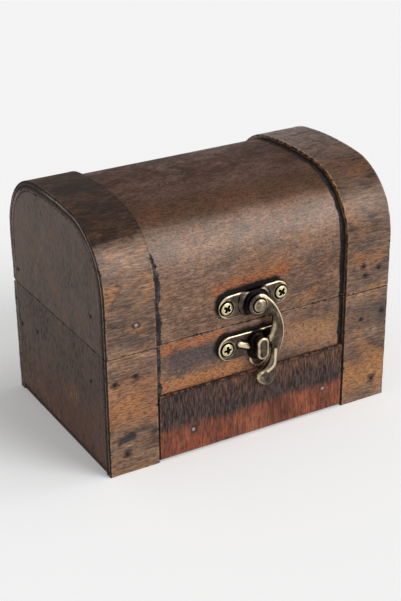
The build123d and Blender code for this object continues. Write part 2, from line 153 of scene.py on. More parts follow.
def stored(tree, name):   # a value that the mesh carries at its points
    return fromNode(tree, "ShaderNodeAttribute", "Fac", attribute_name=name)


def startMaterial(name):
    material = bpy.data.materials.new(name)
    material.use_nodes = True
    tree = material.node_tree
    tree.nodes.clear()
    return material, tree, tree.nodes.new("ShaderNodeOutputMaterial").inputs["Surface"]


def startFinish(name):
    material, tree, surface = startMaterial(name)
    shader = addNode(tree, "ShaderNodeBsdfPrincipled", distribution="GGX")
    tree.links.new(shader.outputs["BSDF"], surface)
    return material, tree, shader.inputs


def endFinish(sockets, colour, roughness, height, depth, strength):   # depth of the relief in mm
    tree = colour.tree
    given = {"Height": height, "Distance": depth * mm, "Strength": strength}
    for name, value in (("Base Color", colour), ("Roughness", roughness),
                        ("Normal", fromNode(tree, "ShaderNodeBump", "Normal", given))):
        feed(tree, sockets[name], value)


# Soft spots round a centre, or along a slanted line. A row of spots: centre, half length, reach,
# fade, slant, strength, colour, and "crisp" where the outline is uneven in small steps. The gate
# says where spots may be.
def laySpots(colour, rows, across, z, gate, wobble, crisp=None):
    for centre, half, reach, fade, slant, strength, tint, *isCrisp in rows:
        along = across - centre[0]
        rise = z - centre[1] - along * math.tan(math.radians(slant))
        beyond = maths("MAXIMUM", abs(along) - half, 0.0)
        away = maths("SQRT", beyond * beyond + rise * rise) + (crisp if isCrisp else wobble)
        colour = lay(colour, eased(away, reach - fade, reach, 1.0, 0.0) * gate, strength, tint)
    return colour


# Wood

woods = Look(
    sheet=Look(grain=(0.26, 1, 1), tilt=2.0, seed=(0, 0, 0), streak=0.8, fibre=0.34, dark=(64, 45, 35),
        middle=(120, 92, 75), light=(168, 132, 106), warm=(162, 110, 66), warmth=0.38,
        cool=(78, 70, 72), coolness=0.35, pores=0.95, flecks=0.55, edge=0.85, rough=0.32, relief=0.6),
    strap=Look(grain=(0.15, 1, 1), tilt=-3.0, seed=(37, 11, 5), streak=0.85, fibre=0.42, dark=(56, 44, 39),
        middle=(116, 92, 78), light=(178, 138, 103), warm=(172, 116, 68), warmth=0.4,
        cool=(74, 70, 76), coolness=0.3, pores=0.95, flecks=0.75, edge=0.9, rough=0.36, relief=0.7),
    end=Look(grain=(1, 1, 0.15), tilt=0.0, seed=(5, 71, 13), streak=1.2, fibre=0.5, dark=(64, 48, 39),
        middle=(83, 63, 52), light=(106, 81, 64), warm=(108, 74, 48), warmth=0.4,
        cool=(76, 68, 66), coolness=0.3, pores=0.8, flecks=0.5, edge=0.95, rough=0.5, relief=0.3),
    skirt=Look(grain=(1, 1, 0.12), tilt=0.0, seed=(91, 7, 29), streak=0.9, fibre=0.5, dark=(74, 38, 28),
        middle=(118, 65, 46), light=(162, 100, 70), warm=(142, 70, 42), warmth=0.35,
        cool=(84, 62, 56), coolness=0.25, pores=0.9, flecks=0.6, edge=0.8, rough=0.48, relief=0.6),
    inner=Look(grain=(0.12, 1, 1), tilt=0.0, seed=(17, 3, 43), streak=1.0, fibre=0.5, dark=(84, 58, 42),
        middle=(122, 88, 64), light=(150, 114, 86), warm=(150, 104, 68), warmth=0.3,
        cool=(100, 84, 76), coolness=0.2, pores=0.4, flecks=0.3, edge=0.0, rough=0.6, relief=0.4))
stain = Look(
    shares=(0.42, 0.3, 0.28), stops=(0.39, 0.5, 0.62), fleck=(1.7, 1.6, 1.44, 1), pore=(0.36, 0.34, 0.36, 1),
    specular=0.26, sheen=(1.0, 0.95, 0.9, 1), depth=0.12)


def stainedWood(name, kind, marks):
    look = woods[kind]
    material, tree, sockets = startFinish(name)
    grain, seed, turn = look.grain, look.seed, (0, look.tilt, 0)
    along = placed(tree, grain, seed, turn)
    fine = placed(tree, [0.07 + 0.93 * part for part in grain], seed, turn)
    broad = placed(tree, [0.5 + 0.5 * part for part in grain], seed, turn)
    even = placed(tree, (1, 1, 1), seed)
    cloud = noise(broad, 12, 4, 0.6, 0.6)
    streak = noise(along, look.streak, 4, 0.62, 0.25)
    fibre = noise(fine, look.fibre, 2, 0.55)
    tone = streak * stain.shares[0] + cloud * stain.shares[1] + fibre * stain.shares[2]
    colour = ramp(tone, list(zip(stain.stops, (look.dark, look.middle, look.light))))
    colour = lay(colour, eased(noise(broad, 9, 4, 0.6, 0.8), 0.48, 0.66), look.warmth, look.warm)
    colour = lay(colour, eased(noise(broad, 6, 5, 0.65, 0.4), 0.5, 0.68), look.coolness, look.cool)
    colour = marks(colour, even)
    colour = lay(colour, eased(fibre, 0.48, 0.36), look.flecks, tinted(colour, stain.fleck))
    colour = lay(colour, eased(fibre, 0.5, 0.62), look.pores, tinted(colour, stain.pore))
    if look.edge:
        colour = wornEdges(colour, kind, along, even)
    darkness = fromNode(tree, "ShaderNodeRGBToBW", "Val", {"Color": colour})   # soot and glue are matt
    matt = eased(darkness, 0.04, 0.004, look.rough - 0.1, look.rough + 0.45)
    sockets["Specular IOR Level"].default_value = stain.specular
    sockets["Specular Tint"].default_value = stain.sheen
    endFinish(sockets, colour, matt + streak * 0.2, fibre * -0.6 + streak * 0.7, stain.depth, look.relief)
    return material


# Rust round the tacks, chipped edges, rubbed edges, and pale wood that is worn bare. Size is that of
# the noise in mm, shows the part of the noise that counts, and fade is in mm from the tack or edge.
edgeWear = Look(
    rust=Look(size=1.6, drift=5.0, fade=(2.3, 0.9), strength=0.8, tint=(38, 34, 36)),
    chip=Look(size=1.3, shows=(0.52, 0.66), swing=0.75, least=0.3, fade=(0.12, -0.16), tint=(24, 18, 17)),
    rub=Look(size=1.9, shows=(0.46, 0.56), fade=(1.1, 0.5), start=(0.3, 0.5), strength=0.5),
    bare=Look(size=1.8, shows=(0.42, 0.6), fade=(0.6, 0.3), strength=0.6, tint=(170, 124, 78)))


def wornEdges(colour, kind, along, even):
    look, tree = woods[kind], colour.tree
    rust, chip, rub, bare = edgeWear.values()
    x, z = split(placed(tree), "XZ")
    drift = (noise(along, rust.size, 3, 0.6) - 0.5) * rust.drift
    colour = lay(colour, eased(stored(tree, "tack") + drift, *rust.fade), rust.strength, rust.tint)
    edge = stored(tree, "edge")
    chips = eased(noise(even, chip.size, 3, 0.6), *chip.shows)
    colour = lay(colour, eased(edge - (chips * chip.swing + chip.least), *chip.fade), look.edge, chip.tint)
    rubbed = eased(edge, *rub.fade) * eased(edge, *rub.start)
    rubbed = rubbed * eased(noise(even, rub.size, 2, 0.5), *rub.shows)
    rubbed = rubbed * maths("MAXIMUM", eased(z, 85, 80), eased(x, 0, 10))   # not on top of the left half
    if kind == "sheet":   # nor under the straps
        rubbed = rubbed * eased(abs(x), 44.0, 42.0)
    colour = lay(colour, rubbed, rub.strength, look.light)
    if kind == "strap":   # along the right strap's raised edge
        worn = eased(edge, *bare.fade) * eased(z, 52, 62) * (eased(x, 20, 30) * eased(x, 44, 42))
        worn = worn * eased(noise(even, bare.size, 3, 0.6), *bare.shows)
        colour = lay(colour, worn, bare.strength, bare.tint)
    return colour


# Worn and darker patches on the front, and round both plates a black mark that is partly stain and partly
# painted shadow
sheetSpots = (((4, 67), 9, 7.5, 6, 4, 0.3, (158, 104, 64)),
              ((0, 63), 14, 4.5, 3.5, 3, 0.6, (150, 84, 44)),
              # round the latch plate: black stain and painted shadow
              ((-1.4, 56.8), 9.4, 6.2, 1.8, 3, 1.0, (4, 2, 2), "crisp"),
              ((-26, 44.5), 12, 3.4, 2.6, 0, 0.6, (168, 100, 60)),
              ((-22, 29.5), 16, 3.6, 2.6, 0, 0.6, (180, 118, 72)),
              ((26, 36), 8, 7, 6, 3, 0.4, (176, 130, 92)),
              ((-23, 38.4), 8, 6.4, 4, 0, 0.75, (62, 58, 62)),
              # round the catch plate: black stain and painted shadow
              ((-1.9, 39.4), 9.4, 6.2, 1.8, 0, 1.0, (4, 3, 3), "crisp"))


def sheetMarks(colour, even):
    plain, tree = colour, colour.tree   # the inside has no such marks
    x, y, z = split(placed(tree))
    slow = noise(even, 7, 4, 0.6) - 0.5
    quick = noise(even, 2.2, 4, 0.6) - 0.5
    drift = z + slow * 3.0
    colour = lay(colour, eased(drift, 62, 74) * eased(y, 0, -20), 0.2, (152, 132, 120))   # painted sheen: a pale grey band over the front shoulder
    # painted shade: the crown of the lid is darkened, more so higher up
    crown = mixed(eased(drift, 88, 93), (0.31, 0.165, 0.03, 1), (0.22, 0.105, 0.03, 1))
    colour = lay(colour, eased(drift, 84, 88), 0.97, tinted(colour, crown))
    colour = laySpots(colour, sheetSpots, x, z, eased(y, -30, -34), slow * 7.0, quick * 2.4)
    leftWidth = (slow * 7.0 + 2.0) * eased(z, 84, 76)   # black glue that squeezed out beside the straps; beside the right strap it is also painted shadow
    leftBand = eased(x + chest.strapEdge - leftWidth, 0.35, -0.1)
    rightGlueAndShadow = eased(chest.strapEdge - x - (slow * 2.5 + 1.9), 0.3, -0.1)
    tar = mixed(eased(quick, -0.1, 0.16), (16, 16, 18), (62, 64, 72))
    tar = mixed(eased(abs(x), 41, 43), tar, (46, 33, 26))
    colour = lay(colour, leftBand * maths("MAXIMUM", eased(y, -10, -36), 0.75), 0.95, tar)
    # beside the right strap: glue, darkened further by the strap's painted shadow
    colour = lay(colour, rightGlueAndShadow, 0.97, mixed(0.75, tar, (10, 10, 11)))
    seam = eased(abs(z - chest.seam), 0.5, 0.2)   # soot along the seam
    colour = lay(colour, seam * eased(slow, -0.12, 0.1), 0.6, (30, 24, 23))
    return mixed(eased(stored(tree, "outside"), 0.0, 0.15), plain, colour)


strapSpots = (((50, 12), 8, 10, 8, 0, 0.5, (180, 122, 68)),
              ((-50, 28), 8, 14, 9, 0, 0.35, (176, 114, 68)),
              ((50, 37), 9, 9, 6, 0, 0.6, (72, 62, 60)),
              ((-50, 16), 6, 2.4, 2.2, 10, 0.6, (48, 44, 46)),
              ((-53, 14), 2.2, 2.2, 1.4, 12, 0.85, (34, 38, 42)))


def strapMarks(colour, even):
    x, y, z = split(placed(colour.tree))
    slow = noise(even, 7, 4, 0.6) - 0.5
    # painted shade: the straps' tops are darkened, the left strap's more than the right's
    topShade = mixed(eased(x, -30, 30), (0.085, 0.05, 0.022, 1), (0.4, 0.28, 0.16, 1))
    colour = lay(colour, eased(z + slow * 8.0, 82, 88), 0.95, tinted(colour, topShade))
    colour = laySpots(colour, strapSpots, x, z, eased(y, -30, -34), slow * 5.0)
    bare = eased(z, 68, 76) * eased(y, 10, -4)
    side = mixed(bare, (52, 38, 31), (110, 80, 56))   # the cut side has less stain at the top front
    colour = lay(colour, eased(abs(x), 59.3, 59.8), 0.85, side)
    low = eased(z, 30, 22) * eased(x, 0, -30)
    high = eased(z, 60, 68) * eased(x, 0, 30)
    return lay(colour, maths("MAXIMUM", low, high), 1.0, tinted(colour, (0.86, 0.86, 0.87, 1)))


def skirtMarks(colour, even):   # soot from above, with the red wood left along the foot
    tree = colour.tree
    x, z = split(placed(tree), "XZ")
    ragged = noise(placed(tree, (1, 1, 0.25)), 2.4, 4, 0.65)
    drift = noise(even, 14, 2, 0.5)
    streaks = noise(placed(tree, (1, 1, 0.16)), 0.6, 4, 0.65)
    grain = eased(streaks, 0.36, 0.64)
    faded = eased(z + drift * 8.0, 20, 29) * eased(x, -36, 0)
    black = mixed(faded, mixed(grain, (36, 31, 31), (74, 58, 53)),
                  mixed(grain, (52, 38, 33), (108, 74, 58)))
    soot = eased(z - (ragged * 4.0 + drift * 4.5 + 7.5), -1.8, 2.2)
    colour = lay(colour, soot * eased(streaks, 0.48, 0.66, 0.99, 0.84), 1.0, black)
    # painted shadow: a dark line along the skirt's top, where it meets the board above
    return lay(colour, eased(z, 25.4, 26.6), 0.7, (16, 13, 13))


endSpots = [(centre, half, reach, reach, slant, 0.45, (176, 120, 66))
            for centre, half, reach, slant in (((-9, 20), 2, 7, 0), ((12, 6), 8, 4, 20), ((30, 8), 5, 4, 0),
                                               ((14, 65), 3, 6, -60))]


def endMarks(colour, even):   # the base is darker than the lid, and redder towards its foot
    tree = colour.tree
    y, z = split(placed(tree), "YZ")
    colour = lay(colour, eased(z, 47.2, 46.8), 1.0, tinted(colour, (0.76, 0.72, 0.71, 1)))
    colour = lay(colour, eased(z, 32, 6), 1.0, tinted(colour, (1.55, 1.22, 1.08, 1)))
    rust = eased(noise(placed(tree, (1, 1, 0.5), (3, 8, 2)), 1.1, 4, 0.7), 0.48, 0.62)
    colour = laySpots(colour, endSpots, y, z, rust, (noise(even, 7, 3, 0.6) - 0.5) * 9.0)
    return lay(colour, eased(z, 3.2, 2.4), 0.6, (30, 25, 24))


def innerMarks(colour, even):   # the bottom's edges show below the ends
    x = split(placed(colour.tree), "X")[0]
    return lay(colour, eased(abs(x), 58.8, 59.6), 0.92, (34, 27, 25))


sheetWood = stainedWood("sheetWood", "sheet", sheetMarks)
strapWood = stainedWood("strapWood", "strap", strapMarks)
endWood = stainedWood("endWood", "end", endMarks)
skirtWood = stainedWood("skirtWood", "skirt", skirtMarks)
innerWood = stainedWood("innerWood", "inner", innerMarks)
print("woods made")


# Metals: bronze darkened with age and, on the latch, by painted shade, and brass where handling has polished
# the edges, with a painted highlight on the hook's tab

metals = Look(
    antiqueBrass=Look(deep=(24, 20, 18), body=(100, 86, 76), polished=(226, 208, 172), rough=0.26,
        polish=(0.02, 0.34), grime=(-0.02, -0.2), specks=0.55),
    screwBrass=Look(deep=(26, 20, 12), body=(206, 190, 142), polished=(246, 236, 200), rough=0.22,
        polish=(0.05, 0.3), grime=(-0.1, -0.5), specks=0.1),
    hingeBrass=Look(deep=(50, 40, 28), body=(134, 114, 82), polished=(226, 204, 150), rough=0.36,
        polish=(0.05, 0.3), grime=(-0.04, -0.2), specks=0.35))


def agedMetal(name):
    look = metals[name]
    material, tree, sockets = startFinish(name)
    even = placed(tree)
    patch = noise(even, 2.6, 4, 0.6)
    grit = noise(even, 0.35, 3, 0.6)
    wear = stored(tree, "wear") + (patch - 0.5) * 0.25
    dulled = tuple(b + (d - b) * look.specks for b, d in zip(paint(look.body), paint(look.deep)))
    colour = mixed(eased(patch, 0.36, 0.66), dulled, look.body)
    colour = mixed(eased(wear, *look.grime), colour, look.deep)
    polish = eased(wear, *look.polish)
    colour = mixed(polish, colour, look.polished)
    colour = mixed(eased(grit, 0.6, 0.72) * look.specks, colour, look.deep)
    sockets["Metallic"].default_value = 1.0
    endFinish(sockets, colour, patch * 0.2 + look.rough - polish * 0.1, grit * 0.4 + patch, 0.08, 0.35)
    return material


antiqueBrass, screwBrass, hingeBrass = [agedMetal(name) for name in metals]

# Dull pieces, speckled with a second colour. Rough is the least roughness and what dirt adds to it,
# relief its depth in mm and its strength.
dullLooks = Look(
    tackSteel=Look(grain=0.5, plain=(46, 38, 36), specks=(150, 149, 148), spread=(0.55, 0.75),
        metallic=0.85, rough=(0.4, 0.25), relief=(0.1, 0.5)),
    washerBlack=Look(grain=0.8, plain=(18, 18, 20), specks=(48, 48, 50), spread=(0.5, 0.75),
        metallic=0.0, rough=(0.3, 0.3), relief=(0.05, 0.4)))


def dullFinish(name, look):
    material, tree, sockets = startFinish(name)
    dirt = noise(placed(tree), look.grain, 3, 0.6)
    shade = stored(tree, "shade") + (dirt - 0.5) * 0.7 if name == "tackSteel" else dirt
    colour = mixed(eased(shade, *look.spread), look.plain, look.specks)
    sockets["Metallic"].default_value = look.metallic
    endFinish(sockets, colour, dirt * look.rough[1] + look.rough[0], dirt, *look.relief)
    return material


tackSteel, washerBlack = [dullFinish(*item) for item in dullLooks.items()]
print("metals made")


# Meshes

def newMesh(name, points, faces, values):   # points in mm, with values at them for the materials
    mesh = bpy.data.meshes.new(name)
    mesh.from_pydata([tuple(point) for point in np.asarray(points) * mm], [], faces)
    mesh.validate()
    mesh.update()
    for key, numbers in values.items():
        attribute = mesh.attributes.new(key, "FLOAT", "POINT")
        attribute.data.foreach_set("value", np.asarray(numbers, np.float32))
    mesh.polygons.foreach_set("use_smooth", [True] * len(mesh.polygons))
    return mesh


def addPiece(name, mesh, sharp, body, replaced, slot):
    mesh.set_sharp_from_angle(angle=math.radians(sharp))
    piece = addObject(name, mesh)
    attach(piece, body)
    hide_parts(replaced)


def finishPiece(name, points, faces, values, material, sharp, *job):
    mesh = newMesh(name, points, faces, values)
    mesh.materials.append(material)
    addPiece(name, mesh, sharp, *job)


def volume(points, faces):   # above zero where the faces of a closed mesh point outwards
    corners = np.asarray(points)
    fan = np.array([(face[0], b, c) for face in faces for b, c in zip(face[1:-1], face[2:])])
    return np.sum(corners[fan[:, 0]] * np.cross(corners[fan[:, 1]], corners[fan[:, 2]]))


def turnedOut(points, faces):
    return faces if volume(points, faces) > 0 else [face[::-1] for face in faces]


def uneven(places, wave, amount, seed):   # a smooth random line along some places
    random = np.random.RandomState(seed)
    total = np.zeros(len(places))
    for part, share in ((wave, 1.0), (wave * 0.41, 0.5), (wave * 0.17, 0.3)):
        knots = np.arange(places[0] - 2 * part, places[-1] + 3 * part, part)
        total += share * np.interp(places, knots, random.uniform(-1, 1, len(knots)))
    return total * amount


nearEdge = (0.15, 0.35, 0.6, 0.95, 1.5, 2.3)   # columns beside a board's rounded edges, in mm


def columnsAcross(low, high, look, extra):   # fine at a board's rounded edges, wide in its middle
    rounding = look.rounding
    edge = [rounding * (1 - math.cos(math.radians(angle))) for angle in (0, 18, 36, 54, 72, 90)]
    edge += [rounding + part for part in nearEdge]
    count = max(2, int((high - low) / look.step)) + 1
    places = [low + part for part in edge] + [high - part for part in edge]
    places += list(np.linspace(low + edge[-1], high - edge[-1], count)[1:-1])
    return np.array(sorted(places + [part for part in extra if low < part < high]))


def roundedDepth(distance, rounding):   # how far a rounded edge falls away, at a distance from it
    inside = np.clip(rounding - distance, 0, rounding)
    return rounding - np.sqrt(np.maximum(rounding ** 2 - inside ** 2, 0))


# Boards that follow a path, whose rows are y, z and the outward direction there. Step is the width
# of a board's columns, stride the height of its rows, wave the length of the waves along its edges,
# ragged how far the edges wander and warp how far the face does.
boards = Look(
    sheet=Look(rounding=0.3, step=1.6, stride=0.9, wave=6.0, ragged=0.05, warp=0.05, thickness=1.8,
        material=sheetWood, slot="sheet_wood", inset=1.65),
    strap=Look(rounding=0.45, step=0.8, stride=0.5, wave=5.0, ragged=0.1, warp=0.06, thickness=1.6,
        material=strapWood, slot="strap_wood"),
    skirt=Look(rounding=0.3, step=1.6, stride=0.5, wave=4.0, ragged=0.06, warp=0.04, thickness=1.3,
        material=skirtWood, slot="skirt_wood", out=39.7, foot=1.0, top=27.0, end=39.75),
    lining=Look(rounding=0.2, step=6.0, stride=4, wave=5.0, ragged=0.0, warp=0.0, thickness=1.8))
boardWear = Look(sideFade=0.7, footFade=0.5, warpAlong=23, warpAcross=17, innerEdge=1.4, liningEdge=6.0)
sharp = Look(wood=40, cast=60, fastener=40)   # degrees from which an edge stays sharp


def sweptBoard(path, low, high, look, seed, extra=()):
    rounding, wave, ragged = look.rounding, look.wave, look.ragged
    columns = columnsAcross(low, high, look, extra)
    along = np.concatenate([[0], np.cumsum(np.hypot(*np.diff(path[:, :2], axis=0).T))])
    leftEdge = uneven(along, wave, ragged, seed)
    rightEdge = uneven(along, wave, ragged, seed + 1)
    footEdge = uneven(columns, wave, ragged * 0.5, seed + 2)
    x, s = np.meshgrid(columns, along, indexing="ij")
    fromLeft, fromRight, fromFoot = x - low, high - x, np.minimum(s, along[-1] - s)
    fromSide = np.minimum(fromLeft, fromRight)
    depth = np.maximum(roundedDepth(fromSide, rounding), roundedDepth(fromFoot, rounding * 0.6))
    swell = (uneven(along, boardWear.warpAlong, 1, seed + 3)[None, :]
             * uneven(columns, boardWear.warpAcross, 1, seed + 4)[:, None])
    depth = depth + look.warp * (swell + 1) * np.clip(fromSide / 2, 0, 1)
    inward = np.maximum(0, leftEdge + ragged)[None, :] * np.exp(-fromLeft / boardWear.sideFade)
    outward = np.maximum(0, rightEdge + ragged)[None, :] * np.exp(-fromRight / boardWear.sideFade)
    rise = np.maximum(0, footEdge + ragged * 0.5)[:, None] * np.exp(-fromFoot / boardWear.footFade)
    rise = np.where(s < along[-1] / 2, rise, -rise)
    slide = np.stack([-path[:, 3], path[:, 2]], 1)
    slide = slide * np.sign(np.sum(slide * np.gradient(path[:, :2], axis=0), axis=1))[:, None]
    points = []
    for down in (depth, np.full_like(depth, look.thickness)):
        y, z = (path[None, :, i] - path[None, :, i + 2] * down + slide[None, :, i] * rise for i in (0, 1))
        points.append(np.stack([x + inward - outward, y, z], -1).reshape(-1, 3))
    outer, inner = np.arange(2 * x.size).reshape(2, *x.shape)
    faces = []
    for quad in ((outer[:-1, :-1], outer[1:, :-1], outer[1:, 1:], outer[:-1, 1:]),
                 (inner[:-1, :-1], inner[:-1, 1:], inner[1:, 1:], inner[1:, :-1]),
                 (outer[0, :-1], outer[0, 1:], inner[0, 1:], inner[0, :-1]),
                 (outer[-1, :-1], inner[-1, :-1], inner[-1, 1:], outer[-1, 1:]),
                 (outer[:-1, 0], inner[:-1, 0], inner[1:, 0], outer[1:, 0]),
                 (outer[:-1, -1], outer[1:, -1], inner[1:, -1], inner[:-1, -1])):
        faces.extend(np.stack([corner.ravel() for corner in quad], 1).tolist())
    edge = np.minimum(fromSide, fromFoot + 0.3)
    return np.concatenate(points), faces, np.concatenate([edge.ravel(), np.full(x.size, boardWear.innerEdge)])


lidShape = Look(half=40.0, height=95.0, shoulder=26.0016, angle=83.0, foot=47.1, bendGap=0.3)
nearFoot = (0.04, 0.1, 0.18, 0.3, 0.5, 0.8)   # heights of the rows that round a board's foot
evenRows = 1.2   # where the rows of even height start


def lidPath(inset, stride):   # up the front, over the crown and down the back, inside the lid's outline
    look, angle = lidShape, math.radians(lidShape.angle)
    crownHalf = look.half - look.shoulder
    crown = look.shoulder + crownHalf / math.cos(angle)
    centre = look.height - crown
    level = centre + crownHalf * math.tan(angle)
    shoulder, top = look.shoulder - inset, crown - inset
    rise = [look.foot] + [look.foot + part for part in nearFoot]
    rise += list(np.arange(look.foot + evenRows, level - look.bendGap, stride))
    rows = [(-(look.half - inset), z, -1.0, 0.0) for z in rise]
    bend = np.linspace(0, angle, int(shoulder * angle / stride) + 1)
    over = np.linspace(angle, math.pi / 2, int(top * (math.pi / 2 - angle) / stride) + 1)[1:]
    for y, z, radius, angles in ((crownHalf, level, shoulder, bend), (0, centre, top, over)):
        rows += [(-y - radius * math.cos(a), z + radius * math.sin(a), -math.cos(a), math.sin(a))
                 for a in angles]
    return np.array(rows + [(-y, z, -ny, nz) for y, z, ny, nz in reversed(rows[:-1])])


def wallPath(side, out, foot, top, stride):   # straight up a wall: side -1 is the front, 1 the back
    near = np.array((0,) + nearFoot)
    even = np.arange(foot + evenRows, top - evenRows, stride)
    rise = np.concatenate([foot + near, even, (top - near)[::-1]])
    return np.array([(side * out, z, side, 0.0) for z in rise])


# Tacks and screws stand where the CAD has them

def fastenerPlaces(name):   # the middle of each head in a node, and which way it faces
    made = bmesh.new()
    made.from_mesh(nodes[name].data)
    bmesh.ops.remove_doubles(made, verts=made.verts, dist=1e-6)
    left, places = set(made.verts), []
    while left:
        grown, waiting = set(), [left.pop()]
        while waiting:
            vertex = waiting.pop()
            grown.add(vertex)
            for linked in vertex.link_edges:
                other = linked.other_vert(vertex)
                if other in left:
                    left.discard(other)
                    waiting.append(other)
        rows = np.array([vertex.co[:] for vertex in grown]) / mm
        low, high = rows.min(0), rows.max(0)
        middle = (low + high) / 2
        axis = 0 if high[0] - low[0] > 1.2 * (high[2] - low[2]) else 1   # it is longest along its shank
        facing = np.zeros(3)
        facing[axis] = np.sign(middle[axis])
        middle[axis] = high[axis] if facing[axis] > 0 else low[axis]
        places.append((middle, facing))
    made.free()
    return sorted(places, key=lambda place: place[0].tolist())   # the same order in each run


tackNodes = ("base_strap_tacks", "skirt_tacks", "base_end_tacks", "lid_strap_tacks", "lid_end_tacks")
tackMiddles = np.array([middle for name in tackNodes for middle, facing in fastenerPlaces(name)])


def nearestTack(points):   # distance of each point to the middle of a tack's head
    return np.min(np.linalg.norm(points[:, None, :] - tackMiddles[None, :, :], axis=2), axis=1)


hinge = Look(y=39.0, middle=22.8, half=8.2, relief=1.8, bevel=53)
hingeColumns = [side * (hinge.middle + end * (hinge.half + gap))
                for side in (-1, 1) for end in (-1, 1) for gap in (-0.02, 0.02)]


def clearHinges(points):   # room for the hinge barrels in the edges along the seam
    y, z = points[:, 1] - hinge.y, points[:, 2] - chest.seam
    away = np.maximum(np.hypot(y, z), 1e-6)
    beside = np.abs(np.abs(points[:, 0]) - hinge.middle) < hinge.half
    push = np.where(beside & (away < hinge.relief), hinge.relief / away, 1.0)
    return np.column_stack([points[:, 0], hinge.y + y * push, chest.seam + z * push])


def cutStop(up):   # the bevel that the open lid rests on, above or below the seam
    def cut(points):
        y, z = points[:, 1], points[:, 2]
        limit = up * chest.seam + np.maximum(y - hinge.y, 0) * math.tan(math.radians(hinge.bevel))
        return np.column_stack([points[:, 0], y, np.where(y > hinge.y, up * np.maximum(up * z, limit), z)])

    return cut


def addBoard(name, kind, path, low, high, seed, body, replaced, shape=None, extra=(), lining=None):
    look = boards[kind]
    points, faces, edge = sweptBoard(path, low, high, look, seed, extra)
    outside = np.repeat([1.0, 0.0], len(points) // 2)
    if lining is not None:   # a second ply on the board's inside
        end = chest.liningEnd
        added, addedFaces = sweptBoard(lining, -end, end, boards.lining, seed + 9)[:2]
        faces = faces + [[corner + len(points) for corner in face] for face in addedFaces]
        points = np.concatenate([points, added])
        edge = np.concatenate([edge, np.full(len(added), boardWear.liningEdge)])
        outside = np.concatenate([outside, np.zeros(len(added))])
    if shape:
        points = shape(points)
    values = {"edge": edge, "tack": nearestTack(points), "outside": outside}
    finishPiece(name, points, turnedOut(points, faces), values, look.material, sharp.wood, body, replaced,
                look.slot)


end, edge, rim = chest.end, chest.strapEdge, chest.rim
sheet, strap, skirt = boards.sheet, boards.strap, boards.skirt
addBoard("lidShell", "sheet", lidPath(sheet.inset, sheet.stride), -end, end, 11, "lid", "lid_shell",
         clearHinges, hingeColumns)
for wall, word, seed, shape, extra in ((-1, "front", 21, None, ()),
                                       (1, "back", 31, clearHinges, hingeColumns)):
    addBoard(word + "Board", "sheet", wallPath(wall, chest.sheetOut, 0, rim, sheet.stride), -end, end, seed,
             "base", "base_" + word + "_board", shape, extra,
             wallPath(wall, chest.liningOut, chest.liningFoot, rim, boards.lining.stride))
addBoard("frontSkirt", "skirt", wallPath(-1, skirt.out, skirt.foot, skirt.top, skirt.stride), -skirt.end,
         skirt.end, 41, "base", "front_skirt")
for side, sideName, low, high in ((-1, "left", -end, -edge), (1, "right", edge, end)):
    addBoard(sideName + "LidStrap", "strap", lidPath(0, strap.stride), low, high, 50 + side, "lid",
             "lid_" + sideName + "_strap", cutStop(1))
    for wall, word, shape in ((-1, "front", None), (1, "back", cutStop(-1))):
        path = wallPath(wall, chest.strapOut, 0, rim, strap.stride)
        addBoard(sideName + word.title() + "Strap", "strap", path, low, high, 70 + 5 * side + wall, "base",
                 "base_" + sideName + "_" + word + "_strap", shape)
print("boards made")


# Flat plates from an outline, with a rounded rim and rings inside it. Shares are how near the last
# rings are to the middle, and the edge values are distances to the rim, for the wear.
endPanels = Look(
    thickness=6.0, sunk=0.12, rounding=0.25, rings=(0.2, 0.5, 0.9), shares=(0.07, 0.2, 0.45, 0.72),
    sideRow=0.8, backEdge=2.5, sideEdge=1.2, span=25, middleEdge=20.0, sharpest=0.3, seamBand=1.5,
    seamClean=0.35, inset=3.5, stride=1.5, footGap=1.15)


def ringPlate(outline, look):
    outline = np.asarray(outline, float)
    depth, rounding, count = look.thickness - look.sunk, look.rounding, len(outline)
    first, second = outline - np.roll(outline, 1, 0), np.roll(outline, -1, 0) - outline
    first /= np.linalg.norm(first, axis=1)[:, None]
    second /= np.linalg.norm(second, axis=1)[:, None]
    normal = np.stack([-(first[:, 1] + second[:, 1]), first[:, 0] + second[:, 0]], 1)
    normal /= np.maximum(np.sum(normal * np.stack([-first[:, 1], first[:, 0]], 1), 1),
                         look.sharpest)[:, None]
    rings = [(0.0, 0.0, look.backEdge), (0.0, depth - rounding - look.sideRow, look.sideEdge)]
    for a in np.linspace(0, math.pi / 2, 5):
        inset = rounding * (1 - math.cos(a))
        rings.append((inset, depth - rounding * (1 - math.sin(a)), inset))
    rings += [(rounding + part, depth, rounding + part) for part in look.rings]
    points = [np.column_stack([outline + normal * inset, np.full(count, level)])
              for inset, level, away in rings]
    middle, last = outline.mean(0), points[-1][:, :2]
    for share in look.shares:
        rings.append((0.0, depth, rings[-1][2] + look.span * share))
        points.append(np.column_stack([last * (1 - share) + middle * share, np.full(count, depth)]))
    low, high, faces = len(rings) * count, len(rings) * count + 1, []
    ahead = [(i + 1) % count for i in range(count)]
    for start in range(0, low - count, count):
        faces += [[start + i, start + j, start + count + j, start + count + i] for i, j in enumerate(ahead)]
    for i, j in enumerate(ahead):
        faces += [[low, j, i], [high, low - count + i, low - count + j]]
    points += [[[*middle, 0.0]], [[*middle, depth]]]
    edge = np.concatenate([np.full(count, away) for inset, level, away in rings] + [[look.middleEdge] * 2])
    return np.concatenate(points), faces, edge


def spaced(corners, stride):   # points along the straight lines between corners, without the last one
    rows = []
    for first, second in zip(corners, corners[1:]):
        first, second = np.array(first), np.array(second)
        parts = max(1, int(np.linalg.norm(second - first) / stride))
        rows += [first + (second - first) * i / parts for i in range(parts)]
    return rows


def addEnd(name, side, outline, *job):
    corners, faces, edge = ringPlate(outline, endPanels)
    x = side * (chest.end - endPanels.thickness + corners[:, 2])
    points = np.column_stack([x, corners[:, 0], corners[:, 1]])
    edge = edge + endPanels.seamClean * (np.abs(points[:, 2] - chest.seam) < endPanels.seamBand)
    values = {"edge": edge, "tack": nearestTack(points)}
    finishPiece(name, points, turnedOut(points, faces), values, endWood, sharp.wood, *job, "end_wood")


